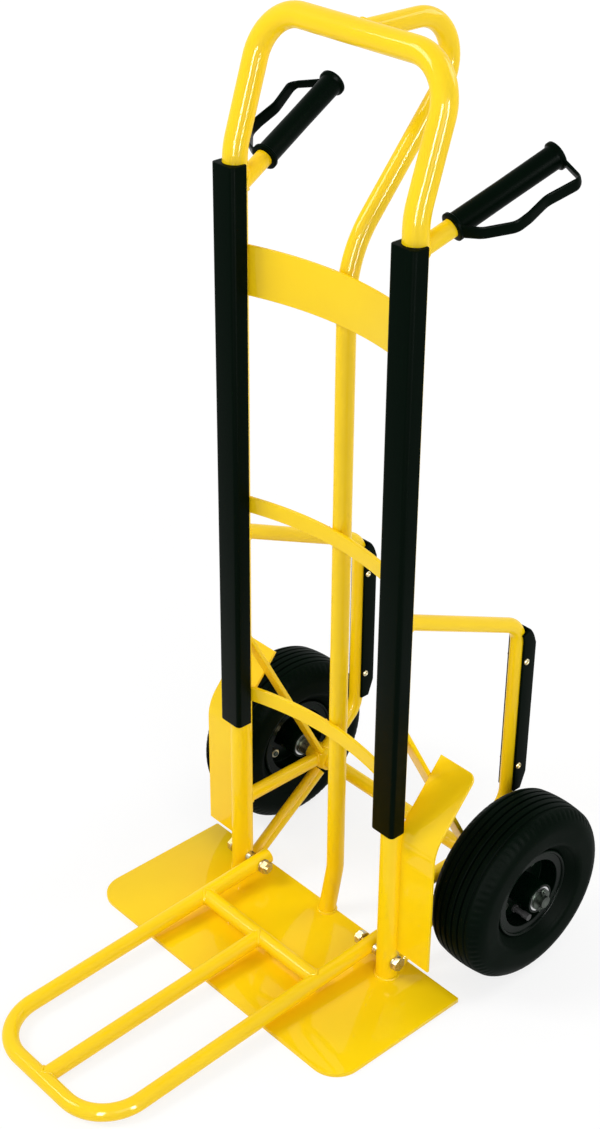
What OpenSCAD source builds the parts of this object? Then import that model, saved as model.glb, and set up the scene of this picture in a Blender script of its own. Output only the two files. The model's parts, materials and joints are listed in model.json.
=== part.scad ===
// Sack truck with a rear handle, skids behind the axle and a folding toe extension.
// X runs across, the load stands on the -Y side and Z is up. The origin lies on the
// floor under the middle of the whole truck, and the lengths are in millimetres.

/* [Main frame] */
// Outside diameter of the bent frame tube
frame_d = 30; // [28:1:32]
// Wall of the bent frame tube
frame_wall = 2; // [1.5:0.5:3]
// Distance between the centres of the two uprights
upright_gap = 294; // [286:2:304]
// Height of the centre of the top bar
top_z = 1220; // [1205:5:1250]
// Height at which the uprights start to lean back
lean_z = 1065; // [1065:1:1080]
// How far the top bar stands behind the uprights
lean_back = 49.753; // [40:0.001:60]
// Bend radius where the uprights lean back
lean_r = 90; // [70:5:110]
// Bend radius at the two top corners
corner_r = 58; // [50:1:66]

/* [Rear handle] */
// Outside diameter of the centre tube
centre_d = 24; // [22:1:26]
// Wall of the centre tube
centre_wall = 2; // [1.5:0.5:3]
// Height at which the centre tube bends back
kink_z = 966; // [955:1:970]
// Angle of the leaning part from upright
kink_angle = 40.515; // [36:0.001:41]
// Bend radius of that bend
kink_r = 140; // [80:5:150]
// Bend radius at the rear of the handle
nose_r = 54; // [40:1:56]
// Height of the bend above the foot
foot_z = 74; // [66:2:90]
// Bend radius above the foot
foot_r = 60; // [40:5:80]
// How far the foot stands ahead of the centre tube
foot_step = 14.155; // [10:0.001:16]

/* [Cross members] */
// Height of the middle of the upper back plate
upper_z = 919; // [908:1:924]
// Height of the upper back plate from edge to edge
upper_h = 64; // [56:1:70]
// Thickness of the upper back plate
upper_t = 4; // [3:0.5:5]
// Height of the middle strap
middle_z = 602; // [580:1:620]
// Height of the lower strap
lower_z = 311; // [300:1:330]
// Height of each strap from edge to edge
strap_h = 22; // [20:1:30]
// Thickness of each strap
strap_t = 5; // [4:0.5:6]
// How far the rear faces of the straps stand behind the uprights at their ends
strap_end = 9; // [8:0.5:12]
// How far the rear faces of the straps stand behind the uprights in the middle
strap_middle = 30; // [26:0.5:33]

/* [Toe plate] */
// Width of the toe plate
plate_w = 492; // [480:2:510]
// Thickness of the toe plate
plate_t = 6; // [5:0.5:8]
// How far the toe plate reaches ahead of the uprights
plate_front = 188; // [170:2:200]
// How far the toe plate reaches behind the uprights
plate_rear = 36; // [30:0.5:38]
// Radius of the two front corners
plate_corner = 38; // [30:1:45]

/* [Load guards] */
// Length of each load guard
guard_len = 784; // [760:2:790]
// Height of the bottom end of the right guard
guard_z = 252; // [246:1:256]
// How much higher the left guard sits
guard_step = 14; // [0:1:16]
// Wall of a guard beside the upright
guard_side = 4.25; // [3:0.25:4.5]
// Thickness of a guard in front of the upright
guard_front = 6; // [5:0.5:7]
// Radius of the front corners of a guard
guard_corner = 6; // [5:0.5:9]
// How far a guard reaches behind the centre of the upright
guard_rear = 2; // [1:0.25:2.5]

/* [Handles] */
// Outside diameter of each handle tube
handle_d = 22; // [20:1:24]
// Wall of each handle tube
handle_wall = 2; // [1.5:0.5:3]
// Height of a handle's axis at the upright
handle_z = 1021; // [1010:1:1024]
// How far a handle's axis lies inside the upright's centre
handle_inset = 4.5; // [3:0.5:6]
// Angle at which the handles splay outward
handle_splay = 11.1; // [8:0.1:14]
// Angle at which the handles rise
handle_rise = 22.8; // [20:0.1:26]
// Distance from the upright's centre plane to the grip
grip_start = 54; // [50:1:60]
// Length of the grip with both of its flanges
grip_len = 149; // [140:1:160]
// Outside diameter of the grip
grip_d = 28; // [26:0.5:29]
// Outside diameter of the flanges
flange_d = 34; // [33:1:38]
// Thickness of the flanges
flange_t = 5; // [4:0.5:6]
// How far the knuckle guard stands out from the grip's axis
knuckle_out = 56; // [48:1:60]
// Angle by which the knuckle guard droops
knuckle_droop = 8; // [0:1:15]
// Height of the knuckle guard's band
knuckle_h = 13; // [10:1:16]
// Thickness of the knuckle guard's band
knuckle_t = 4; // [3:0.5:5]

/* [Mudguards] */
// Distance from the upright's centre to the mudguard's outer edge
mud_out = 72; // [66:1:74]
// Distance from the upright's centre to the mudguard's inner edge
mud_in = 11; // [9:0.5:12]
// Thickness of the mudguard
mud_t = 4; // [3:0.5:4]
// Distance from the upright's centre plane to the middle of the mudguard
mud_y = 3; // [2:0.25:4]
// Height of the mudguard's bottom edge
mud_z = 54; // [52:1:60]
// Height of the corner that the two flat parts would make
mud_bend_z = 252; // [250:1:256]
// Bend radius of the mudguard
mud_r = 60; // [50:2:64]
// Angle of the upper part from upright
mud_angle = 39.891; // [36:0.001:44]
// Length of the upper part from that corner
mud_len = 109; // [96:1:112]
// Radius of the upper outer corner
mud_corner = 12; // [8:1:16]

/* [Axle and struts] */
// Diameter of the axle
axle_d = 16; // [15:0.5:17]
// Distance of the axle behind the uprights
axle_y = 152; // [150:1:160]
// Outside diameter of the axle bosses
boss_d = 30; // [28:1:32]
// Length of each axle boss
boss_len = 36; // [32:1:40]
// Outside diameter of the tube that covers the axle between the bosses
cover_d = 21; // [19:1:24]
// Wall of the tube that covers the axle
cover_wall = 2; // [1:0.25:2]
// Outside diameter of the struts
strut_d = 20; // [17:0.5:21]
// Wall of the struts
strut_wall = 1.5; // [1:0.25:2.5]
// Distance of the base strut's foot behind the uprights
base_foot = 12; // [10:0.5:14]
// How far the base strut passes below the axle
base_drop = 17; // [15:0.5:19]
// Width of the upper brace
brace_w = 21; // [16:1:24]
// Thickness of the upper brace
brace_t = 6; // [4:0.5:6]
// Height at which the upper brace's line meets the uprights' centre plane
brace_z = 414; // [405:1:420]

/* [Wheels] */
// Radius of the tyre
tyre_r = 127; // [126:1:132]
// Width of the tyre
tyre_w = 90; // [84:1:94]
// Distance of a wheel's middle from the truck's middle
wheel_x = 228.5; // [226:0.5:234]
// Radius of the tread across the tyre
crown_r = 160; // [120:10:240]
// Radius of the tyre's shoulders
shoulder_r = 28; // [26:1:32]
// Distance between the grooves of the tread
groove_gap = 10; // [8:0.5:11]
// Thickness of the tyre's carcass
carcass_t = 8; // [7:0.5:9]
// Radius of the rim's lip
lip_r = 62; // [60:1:64]
// Radius of the seat on which the tyre's bead sits
seat_r = 52; // [50:1:54]
// Distance between the two beads' outer faces
bead_gap = 54; // [50:1:58]
// Thickness of the rim's sheet
rim_t = 2.5; // [2:0.25:3]
// Bolt circle radius of the rim
bolt_ring_r = 35; // [34:0.5:37]
// Number of bolts that hold the rim halves
bolt_count = 4; // [3:1:6]
// Diameter of the rim bolts
bolt_d = 8; // [6:0.5:8]
// Outside diameter of the hub
hub_d = 42; // [41:0.5:44]
// Length of the hub
hub_len = 88; // [84:1:90]

/* [Bearings] */
// Outside diameter of a bearing
bearing_d = 35; // [34:0.5:36]
// Width of a bearing
bearing_w = 11; // [10:0.5:12]
// Diameter of the bearing's balls
ball_d = 5; // [4.5:0.25:5.5]
// Number of balls in a bearing
ball_count = 9; // [7:1:10]

/* [Skids] */
// Outside diameter of the skid tubes
skid_d = 20; // [19:0.5:21]
// Wall of the skid tubes
skid_wall = 1.5; // [1:0.25:2.5]
// Height at which the skid tube's line meets the uprights' centre plane
skid_top_z = 560; // [550:1:575]
// Distance of the upright part of the skid behind the uprights
skid_y = 218; // [212:1:226]
// Height of the skid's rear corner
skid_corner_z = 462.707; // [455:0.001:470]
// Height of the skid's lower corner
skid_low_z = 187.038; // [186:0.001:194]
// Bend radius of the rear corner
skid_r = 35; // [32:1:40]
// Bend radius of the lower corner
skid_low_r = 40; // [34:1:46]
// Width of the skid strip
strip_w = 28; // [26:1:32]
// Thickness of the strip behind the tube
strip_back = 11; // [9:0.5:12]
// Angle of the bare start of the bend, before the strip begins
strip_bare = 42; // [34:1:46]
// Angle at which the back of the strip tapers toward its upper end
strip_taper = 22; // [16:1:26]
// Thickness of the strip at its upper end
strip_tip = 3; // [2:0.5:5]
// How far the strip's sides reach ahead of the tube's centre
strip_front = 2; // [1:0.5:3]
// Diameter of the rivets that hold the strip
rivet_d = 5; // [4:0.5:5]
// Distance of a rivet behind the tube's centre
rivet_back = 4; // [3:0.5:4]
// Height of the upper rivet
rivet_high = 412; // [400:2:425]
// Height of the lower rivet
rivet_low = 246; // [236:2:256]

/* [Toe extension] */
// Outside diameter of the extension's tubes
ext_d = 22; // [20:1:23]
// Wall of the extension's tubes
ext_wall = 2; // [1.5:0.5:3]
// Distance of each side tube from the middle
ext_x = 114; // [112:0.5:116]
// Distance from the pivot to the front bar
ext_len = 456; // [430:1:465]
// Bend radius of the front corners
ext_r = 65; // [55:1:75]
// How far the side tubes reach past the pivot
ext_tail = 19; // [17:0.5:21]
// Distance from the pivot to the cross bar
ext_cross = 97; // [90:1:104]
// Height of the pivot
pivot_z = 34; // [33:0.5:36]
// Diameter of the pivot bolts
pivot_d = 10; // [8:0.5:10]

/* [Fits] */
// Gap left for the weld between two welded pieces
weld = 0.1; // [0.05:0.05:0.2]
// Radial clearance of a piece fixed on a shaft or a tube
seat_fit = 0.05; // [0.02:0.01:0.1]
// Radial clearance of a piece that turns on a shaft
run_fit = 0.06; // [0.03:0.01:0.09]
// End clearance between pieces that turn against each other
end_fit = 0.3; // [0.2:0.05:0.5]

/* [Hidden] */
$fn = 64;

// Colours of the finishes
paint = [0.98, 0.82, 0.05];
plastic = [0.08, 0.08, 0.09];
rubber = [0.05, 0.05, 0.055];
dark_rim = [0.12, 0.12, 0.13];
zinc = [0.80, 0.78, 0.66];
steel = [0.66, 0.67, 0.69];
inner_rubber = [0.16, 0.15, 0.15];

// Main frame
up_x = upright_gap / 2;
frame_r = frame_d / 2;
frame_path = [[-up_x, 0, plate_t], [-up_x, 0, lean_z], [-up_x, lean_back, top_z],
    [up_x, lean_back, top_z], [up_x, 0, lean_z], [up_x, 0, plate_t]];
// Straps: the rear faces are arcs through the two ends and the middle
strap_half = up_x - frame_r;
strap_rise = strap_middle - strap_end;
strap_arc_r = (pow(strap_half, 2) + pow(strap_rise, 2)) / (2 * strap_rise);
// Centre tube: its front lies on the rear of the straps
centre_y = strap_middle + centre_d / 2 + weld;
nose_y = centre_y + (top_z - kink_z) * tan(kink_angle);
foot_dir = [0, foot_step, foot_z - plate_t] / norm([foot_step, foot_z - plate_t]);
centre_path = [[0, lean_back, top_z], [0, nose_y, top_z], [0, centre_y, kink_z],
    [0, centre_y, foot_z], [0, centre_y - foot_step, plate_t] - 10 * foot_dir];
// Height up to which the uprights are straight
straight_top_z = lean_z - lean_r * tan(atan2(lean_back, top_z - lean_z) / 2);
// Handles
handle_x = up_x - handle_inset;
handle_len = grip_start + grip_len - flange_t - end_fit;
handle_cut_y = guard_rear + 1.5;
// Axle and wheels: the tyres stand on the floor
axle_z = tyre_r;
hub_in_x = wheel_x - hub_len / 2;
hub_out_x = wheel_x + hub_len / 2;
boss_out_x = up_x + boss_len / 2;
washer_t = 3;
washer_r = 15;
collar_r = 12.5;
pin_d = 4;
pin_wire = 1.2;
pin_ring_r = 3.2;
pin_leg = 7;
pin_spread = 115;
pin_x = hub_out_x + end_fit + washer_t + weld + pin_d / 2;
axle_half = pin_x + 5;
wall_r = seat_r + 27;
// The knuckle band: how deep its ends sink into the flanges, how far they stand from the
// grip's ends, how far back it reaches its full height, and its two bends
band_bury = 4;
band_end = 3;
band_lead = 12;
band_bend = 18;
band_end_bend = 16;
// Sizes of the blocks that cut the tubes off flush, larger than what they cut away
room_half = 400;
room_deep = 300;
end_cut = 60;
tip_cut = 40;
// Depth below the tread at which the middle of the tyre's air space lies
air_inset = 34;
air_r = tyre_r - air_inset;
air_high = tyre_r - carcass_t - air_r;
// Half the gap between the two rim halves, and the parts bolted to them
web_gap = 0.1;
bolt_head_t = 5;
nut_t = 6.4;
hex_bolt_r = bolt_d * 0.9;
valve_d = 8;
valve_foot_d = 11;
valve_foot_t = 3;
valve_len = 20;
valve_cap_d = 9.5;
valve_cap_len = 10;
ball_ring_r = (axle_d + bearing_d) / 4;
inner_ring_r = ball_ring_r - ball_d / 2 - run_fit;
outer_ring_r = ball_ring_r + ball_d / 2 + seat_fit;
bearing_r = bearing_d / 2;
// Struts
base_angle = atan2(axle_z - base_drop - plate_t, axle_y - base_foot);
brace_target_z = axle_z + 12;
// Skids
skid_path_pts = [[0, skid_top_z], [skid_y, skid_corner_z], [skid_y, skid_low_z],
    [axle_y, axle_z]];
skid_turn = 90 - atan2(skid_top_z - skid_corner_z, skid_y);
strip_top_z = skid_corner_z - skid_r * tan(skid_turn / 2);
strip_low_z = skid_low_z
    + skid_low_r * tan(atan2(skid_y - axle_y, skid_low_z - axle_z) / 2) + 1;
rivet_head_r = rivet_d * 0.9;
rivet_head_t = 2;
// Toe extension: it slopes down until its front bar rests on the floor
ext_rad = ext_d / 2;
ext_slope = asin((pivot_z - ext_rad) / ext_len);
spacer_len = up_x - frame_r - ext_x - ext_rad;
nut_h = pivot_d * 0.8;
head_h = pivot_d * 0.64;
hex_r = pivot_d * 0.98;
plain_t = 2;
plain_r = pivot_d;
// Middle of the truck's depth, which the origin lies under
front_y = -ext_len * cos(ext_slope) - ext_rad;
rear_y = axle_y + tyre_r;
middle_y = (front_y + rear_y) / 2;

// Vector helpers. A path is a list of corner points p with a bend radius r[i] at each.
function unit(v) = v / norm(v);
function run_dir(p, i) = unit(p[i + 1] - p[i]);
function turn_at(p, i) = acos(run_dir(p, i - 1) * run_dir(p, i));
function trim_at(p, r, i) = i == 0 || i == len(p) - 1 ? 0 : r[i] * tan(turn_at(p, i) / 2);
function run_len(p, r, i) = norm(p[i + 1] - p[i]) - trim_at(p, r, i) - trim_at(p, r, i + 1);
// Direction from the corner point i toward the centre of its bend, square to the run
// before it, and the same direction after the bend
function inward(p, i) = unit(run_dir(p, i) - (run_dir(p, i) * run_dir(p, i - 1))
    * run_dir(p, i - 1));
function inward_after(p, i) = inward(p, i) * cos(turn_at(p, i))
    - run_dir(p, i - 1) * sin(turn_at(p, i));
// Angle between the planes of the bends at the points i and i + 1
function roll_at(p, i) = i + 1 > len(p) - 2 ? 0
    : atan2(cross(inward_after(p, i), inward(p, i + 1)) * run_dir(p, i),
        inward_after(p, i) * inward(p, i + 1));

// Moves the shape from its own axes to the axes x, y and z at point o
module on_axes(x, y, z, o) {
    multmatrix([[x[0], y[0], z[0], o[0]], [x[1], y[1], z[1], o[1]],
        [x[2], y[2], z[2], o[2]], [0, 0, 0, 1]]) children();
}

// Sweeps a flat profile along a path. The profile's x axis points to the first bend's
// centre, or where the path has no bend, across it: along X, or up where it runs along X.
module sweep_path(p, r) {
    u = run_dir(p, 0);
    across = abs(u[0]) > 0.9 ? [0, 0, 1] : [1, 0, 0];
    x = len(p) > 2 ? inward(p, 1) : unit(across - (across * u) * u);
    on_axes(x, cross(u, x), u, p[0]) run_on(p, r, 0) children();
}

// Draws run i along +Z from the origin, then its bend, and the rest in the frame beyond.
// Each bend is cut off by the very plane that the next run starts from.
module run_on(p, r, i) {
    length = run_len(p, r, i);
    linear_extrude(length) children();
    if (i < len(p) - 2) {
        reach = r[i + 1] + 60;
        turn = turn_at(p, i + 1);
        translate([r[i + 1], 0, length]) {
            intersection() {
                on_axes([-1, 0, 0], [0, 0, 1], [0, 1, 0], [0, 0, 0])
                    rotate_extrude(angle = turn + 3) translate([r[i + 1], 0])
                    mirror([1, 0]) children();
                rotate([0, turn, 0]) translate([-reach, -reach, -2 * reach])
                    cube(2 * reach);
            }
            rotate([0, turn, 0]) translate([-r[i + 1], 0, 0])
                rotate([0, 0, roll_at(p, i + 1)]) run_on(p, r, i + 1) children();
        }
    }
}

// Flat section of a tube
module tube_section(d, wall) {
    difference() {
        circle(d / 2);
        circle(d / 2 - wall);
    }
}

// A bent tube with open ends
module bent_tube(p, r, d, wall) {
    sweep_path(p, r) tube_section(d, wall);
}

// A straight tube between two points
module straight_tube(a, b, d, wall) {
    bent_tube([a, b], [0, 0], d, wall);
}

// The space that the upright on one side takes up, with the weld gap
module upright_space(side) {
    translate([side * up_x, 0, -10]) cylinder(r = frame_r + weld, h = straight_top_z + 10);
}

// The space that the axle boss on one side takes up
module boss_space(side) {
    translate([side * up_x, axle_y, axle_z]) rotate([0, 90, 0])
        cylinder(r = boss_d / 2 + weld, h = boss_len + 20, center = true);
}

// The space below the toe plate's upper face
module floor_space() {
    translate([-room_half, -room_half, plate_t - room_deep])
        cube([2 * room_half, 2 * room_half, room_deep]);
}

// Puts the truck's middle over the origin
module placed() {
    translate([0, -middle_y, 0]) children();
}

// Two bars of one bent tube: the uprights and the top bar between them
module main_frame_tube() {
    radii = [0, lean_r, corner_r, corner_r, lean_r, 0];
    color(paint) placed() difference() {
        bent_tube(frame_path, radii, frame_d, frame_wall);
        pivot_bores(pivot_d / 2 + seat_fit);
    }
}

// The centre tube stands on the plate, passes behind the straps and makes the rear handle
module centre_tube() {
    radii = [0, nose_r, kink_r, foot_r, 0];
    color(paint) placed() difference() {
        bent_tube(centre_path, radii, centre_d, centre_wall);
        floor_space();
        top_bar_space();
    }
}

module top_bar_space() {
    translate([0, lean_back, top_z]) rotate([0, 90, 0])
        cylinder(r = frame_r + weld, h = upright_gap - 2 * corner_r, center = true);
}

// A strip of height h and thickness t, bowed backward between the uprights
module bowed_strap(z, h, t) {
    color(paint) placed() difference() {
        intersection() {
            translate([0, strap_middle - strap_arc_r, z - h / 2]) difference() {
                cylinder(r = strap_arc_r, h = h, $fn = 180);
                translate([0, 0, -1]) cylinder(r = strap_arc_r - t, h = h + 2, $fn = 180);
            }
            translate([-up_x, 0, z - h]) cube([upright_gap, strap_middle + 1, 2 * h]);
        }
        upright_space(-1);
        upright_space(1);
    }
}

module upper_back_plate() {
    bowed_strap(upper_z, upper_h, upper_t);
}

module middle_strap() {
    bowed_strap(middle_z, strap_h, strap_t);
}

module lower_strap() {
    bowed_strap(lower_z, strap_h, strap_t);
}

module toe_plate() {
    inset_x = plate_w / 2 - plate_corner;
    inset_y = plate_front - plate_corner;
    color(paint) placed() linear_extrude(plate_t) union() {
        translate([-plate_w / 2, -inset_y]) square([plate_w, inset_y + plate_rear]);
        translate([-inset_x, -plate_front]) square([2 * inset_x, plate_corner + 1]);
        for (x = [-inset_x, inset_x]) translate([x, -inset_y]) circle(plate_corner);
    }
}

// Black moulding that wraps the front and the sides of an upright
module load_guard(side, z) {
    half_w = frame_r + guard_side;
    front = frame_r + guard_front;
    flat_w = half_w - guard_corner;
    color(plastic) placed() translate([side * up_x, 0, z]) linear_extrude(guard_len)
        difference() {
            union() {
                translate([-half_w, guard_corner - front])
                    square([2 * half_w, front - guard_corner + guard_rear]);
                translate([-flat_w, -front]) square([2 * flat_w, guard_corner + 1]);
                for (x = [-flat_w, flat_w])
                    translate([x, guard_corner - front]) circle(guard_corner);
            }
            circle(frame_r + seat_fit);
        }
}

module left_load_guard() {
    load_guard(-1, guard_z + guard_step);
}

module right_load_guard() {
    load_guard(1, guard_z);
}

// Lays a shape that is built along +Z, with its outer side along +X, on a handle's axis
module on_handle(side) {
    translate([side * handle_x, 0, handle_z]) rotate([0, 0, -side * handle_splay])
        rotate([handle_rise - 90, 0, 0]) mirror([side < 0 ? 1 : 0, 0, 0]) children();
}

module handle_tube(side) {
    color(paint) placed() difference() {
        on_handle(side) difference() {
            cylinder(d = handle_d, h = handle_len);
            translate([0, 0, -1]) cylinder(d = handle_d - 2 * handle_wall, h = handle_len + 2);
        }
        upright_space(side);
        translate([side * up_x - end_cut, handle_cut_y - end_cut, handle_z - end_cut])
            cube([2 * end_cut, end_cut, 2 * end_cut]);
    }
}

module left_handle_tube() {
    handle_tube(-1);
}

module right_handle_tube() {
    handle_tube(1);
}

// Grip with two flanges, a closed end and a band that keeps the knuckles off door frames
module grip(side) {
    root = flange_d / 2 - band_bury;
    knuckle = [[band_end, 0, root], [knuckle_out - band_lead, 0, knuckle_out],
        [grip_len - band_lead, 0, knuckle_out], [grip_len - band_end, 0, root]];
    color(plastic) placed() on_handle(side) translate([0, 0, grip_start]) difference() {
        union() {
            cylinder(d = grip_d, h = grip_len);
            cylinder(d = flange_d, h = flange_t);
            translate([0, 0, grip_len - flange_t]) cylinder(d = flange_d, h = flange_t);
            rotate([0, 0, knuckle_droop]) knuckle_band(knuckle);
        }
        translate([0, 0, -1])
            cylinder(r = handle_d / 2 + seat_fit, h = grip_len - flange_t + 1);
    }
}

// The band's points are written as distances along the grip and out from its axis
module knuckle_band(p) {
    path = [for (q = p) [q[2], 0, q[0]]];
    sweep_path(path, [0, band_bend, band_end_bend, 0])
        square([knuckle_t, knuckle_h], center = true);
}

module left_grip() {
    grip(-1);
}

module right_grip() {
    grip(1);
}

// Flat plate beside the upright whose upper part bends back over the tyre
module mudguard(side) {
    bend = mud_r * tan(mud_angle / 2);
    width = mud_out - mud_in;
    path = [[0, 0, mud_z], [0, 0, mud_bend_z], [0, mud_len * sin(mud_angle),
        mud_bend_z + mud_len * cos(mud_angle)]];
    color(paint) placed() difference() {
        translate([side * (up_x + (mud_in + mud_out) / 2), mud_y, 0]) difference() {
            sweep_path(path, [0, mud_r, 0]) square([mud_t, width], center = true);
            mud_corner_cut(side, path[2], width);
        }
        upright_space(side);
    }
}

// Takes the upper outer corner off the mudguard that ends at the point tip
module mud_corner_cut(side, tip, width) {
    translate(tip) rotate([-mud_angle, 0, 0])
        translate([side * (width / 2 - mud_corner), 0, -mud_corner]) rotate([90, 0, 0])
            difference() {
                linear_extrude(2 * mud_t, center = true) scale([side, 1])
                    square(mud_corner + 1);
                cylinder(r = mud_corner, h = 3 * mud_t, center = true);
            }
}

module left_mudguard() {
    mudguard(-1);
}

module right_mudguard() {
    mudguard(1);
}

// Level strut from the upright to the axle boss
module axle_strut(side) {
    color(paint) placed() difference() {
        straight_tube([side * up_x, 0, axle_z], [side * up_x, axle_y, axle_z], strut_d,
            strut_wall);
        upright_space(side);
        boss_space(side);
    }
}

module left_axle_strut() {
    axle_strut(-1);
}

module right_axle_strut() {
    axle_strut(1);
}

// Strut from the toe plate, behind the upright, to the underside of the axle boss
module base_strut(side) {
    foot = [side * up_x, base_foot - 20 * cos(base_angle), plate_t - 20 * sin(base_angle)];
    top = [side * up_x, axle_y, axle_z - base_drop];
    color(paint) placed() difference() {
        straight_tube(foot, top, strut_d, strut_wall);
        upright_space(side);
        boss_space(side);
        floor_space();
        axle_strut_space(side);
    }
}

module axle_strut_space(side) {
    translate([side * up_x, 0, axle_z]) rotate([-90, 0, 0])
        cylinder(r = strut_d / 2 + weld, h = axle_y);
}

module left_base_strut() {
    base_strut(-1);
}

module right_base_strut() {
    base_strut(1);
}

// Flat bar from the upright down to the top of the axle boss
module upper_brace(side) {
    path = [[side * up_x, 0, brace_z], [side * up_x, axle_y - 6, brace_target_z]];
    color(paint) placed() difference() {
        sweep_path(path, [0, 0]) square([brace_w, brace_t], center = true);
        upright_space(side);
        boss_space(side);
        axle_strut_space(side);
    }
}

module left_upper_brace() {
    upper_brace(-1);
}

module right_upper_brace() {
    upper_brace(1);
}

module axle_boss(side) {
    color(paint) placed() translate([side * up_x, axle_y, axle_z]) rotate([0, 90, 0])
        difference() {
            cylinder(d = boss_d, h = boss_len, center = true);
            cylinder(r = axle_d / 2 + seat_fit, h = boss_len + 2, center = true);
        }
}

module left_axle_boss() {
    axle_boss(-1);
}

module right_axle_boss() {
    axle_boss(1);
}

// Tube welded between the two bosses, through which the axle runs
module axle_tube() {
    half = up_x - boss_len / 2 - weld;
    color(paint) placed() on_axle(1, -half) difference() {
        cylinder(d = cover_d, h = 2 * half);
        translate([0, 0, -1]) cylinder(d = cover_d - 2 * cover_wall, h = 2 * half + 2);
    }
}

// Lays a shape that is built along +Z on the axle, at x from the middle, pointing outward
module on_axle(side, x) {
    translate([side * x, axle_y, axle_z]) rotate([0, side * 90, 0]) children();
}

module axle() {
    color(steel) placed() difference() {
        on_axle(1, -axle_half) cylinder(d = axle_d, h = 2 * axle_half);
        for (side = [-1, 1]) translate([side * pin_x, axle_y, axle_z])
            cylinder(r = pin_d / 2 + seat_fit, h = axle_d + 2, center = true);
    }
}

// A flat ring with a hole
module ring(r, hole_r, h) {
    difference() {
        cylinder(r = r, h = h);
        translate([0, 0, -1]) cylinder(r = hole_r, h = h + 2);
    }
}

// Collars that keep the wheels off the bosses
module axle_collars() {
    len_x = hub_in_x - end_fit - washer_t - weld - boss_out_x - weld;
    color(zinc) placed() for (side = [-1, 1])
        on_axle(side, boss_out_x + weld) ring(collar_r, axle_d / 2 + seat_fit, len_x);
}

// One washer at each end of each hub
module axle_washers() {
    color(zinc) placed() for (side = [-1, 1], x = [hub_in_x - end_fit - washer_t,
        hub_out_x + end_fit])
        on_axle(side, x) ring(washer_r, axle_d / 2 + seat_fit, washer_t);
}

// Split pins with a ring head above the axle and two bent legs below it
module split_pins() {
    shank = axle_d / 2 + 5;
    color(zinc) placed() for (side = [-1, 1])
        translate([side * pin_x, axle_y, axle_z]) union() {
            translate([0, 0, -shank]) cylinder(d = pin_d - 4 * weld, h = 2 * shank);
            translate([0, 0, shank + pin_ring_r - pin_wire]) rotate([0, 90, 0])
                rotate_extrude() translate([pin_ring_r, 0]) circle(pin_wire, $fn = 24);
            for (a = [-1, 1]) translate([0, 0, pin_wire - shank]) rotate([a * pin_spread, 0, 0])
                cylinder(d = pin_d / 2 - 4 * weld, h = pin_leg, $fn = 24);
        }
}

// The inner rings sit tight on the axle
module bearing_inner_rings() {
    color(steel) placed() for (side = [-1, 1], x = bearing_places())
        on_axle(side, x) ring(inner_ring_r, axle_d / 2 + 0.02, bearing_w);
}

// Distances from the middle at which the bearings start
function bearing_places() = [hub_in_x, hub_out_x - bearing_w];

module skid_tube(side) {
    path = [for (q = skid_path_pts) [side * up_x, q[0], q[1]]];
    color(paint) placed() difference() {
        bent_tube(path, [0, skid_r, skid_low_r, 0], skid_d, skid_wall);
        upright_space(side);
        boss_space(side);
        rivet_holes(side, seat_fit);
        translate([side * up_x - 50, -40, skid_top_z - 60]) cube([100, 40, 120]);
    }
}

module left_skid_tube() {
    skid_tube(-1);
}

module right_skid_tube() {
    skid_tube(1);
}

module rivet_holes(side, fit) {
    for (z = [rivet_low, rivet_high])
        translate([side * up_x, skid_y + rivet_back, z]) rotate([0, 90, 0])
            cylinder(r = rivet_d / 2 + fit, h = strip_w + 10, center = true);
}

// Channel-shaped runner behind the skid tube and round its rear corner
module skid_strip(side) {
    u = unit([0, skid_y, skid_corner_z - skid_top_z]);
    trim = skid_r * tan(skid_turn / 2);
    corner = [side * up_x, skid_y, skid_corner_z];
    path = [corner - (trim + 1) * u, corner, [side * up_x, skid_y, strip_low_z]];
    color(plastic) placed() difference() {
        sweep_path(path, [0, skid_r, 0]) strip_section();
        rivet_holes(side, seat_fit);
        translate([side * up_x, skid_y + skid_d / 2 + strip_back, strip_low_z])
            rotate([45, 0, 0]) cube([strip_w + 2, 10, 10], center = true);
        translate([side * up_x - strip_w, skid_y - skid_r, strip_top_z])
            rotate([skid_turn - strip_bare, 0, 0]) union() {
                cube([2 * strip_w, 2 * tip_cut, 2 * tip_cut]);
                translate([0, skid_r + skid_d / 2 + strip_tip, 0])
                    rotate([strip_taper - skid_turn + strip_bare, 0, 0])
                    translate([0, 0, -2 * tip_cut]) cube([2 * strip_w, tip_cut, 4 * tip_cut]);
            }
    }
}

// The section's x axis points to the bend's centre
module strip_section() {
    slot = skid_d / 2 + weld;
    back = skid_d / 2 + strip_back;
    difference() {
        translate([-back, -strip_w / 2]) square([back + strip_front, strip_w]);
        translate([-slot, -slot]) square([slot + strip_front + 1, 2 * slot]);
    }
}

module left_skid_strip() {
    skid_strip(-1);
}

module right_skid_strip() {
    skid_strip(1);
}

// Rivets right through the strip and the tube, with a flat head on each side
module skid_rivets() {
    half = strip_w / 2;
    color(zinc) placed() for (side = [-1, 1], z = [rivet_low, rivet_high])
        translate([side * up_x, skid_y + rivet_back, z]) rotate([0, 90, 0]) union() {
            cylinder(d = rivet_d, h = 2 * half, center = true);
            for (a = [-1, 1]) translate([0, 0, a * (half + rivet_head_t / 2)])
                cylinder(r = rivet_head_r, h = rivet_head_t, center = true);
        }
}

// Bores for the pivot bolts, right across the truck
module pivot_bores(r) {
    translate([0, 0, pivot_z]) rotate([0, 90, 0])
        cylinder(r = r, h = 2 * up_x + 60, center = true);
}

// Lays a shape that is built along +Z on the pivot, at x from the middle, outward
module on_pivot(side, x) {
    translate([side * x, 0, pivot_z]) rotate([0, side * 90, 0]) children();
}

// Outer end of each bolt's washer and inner end of its nut
function head_x() = up_x + frame_r + plain_t;
function nut_x() = ext_x - ext_rad - end_fit - plain_t - nut_h;

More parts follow.
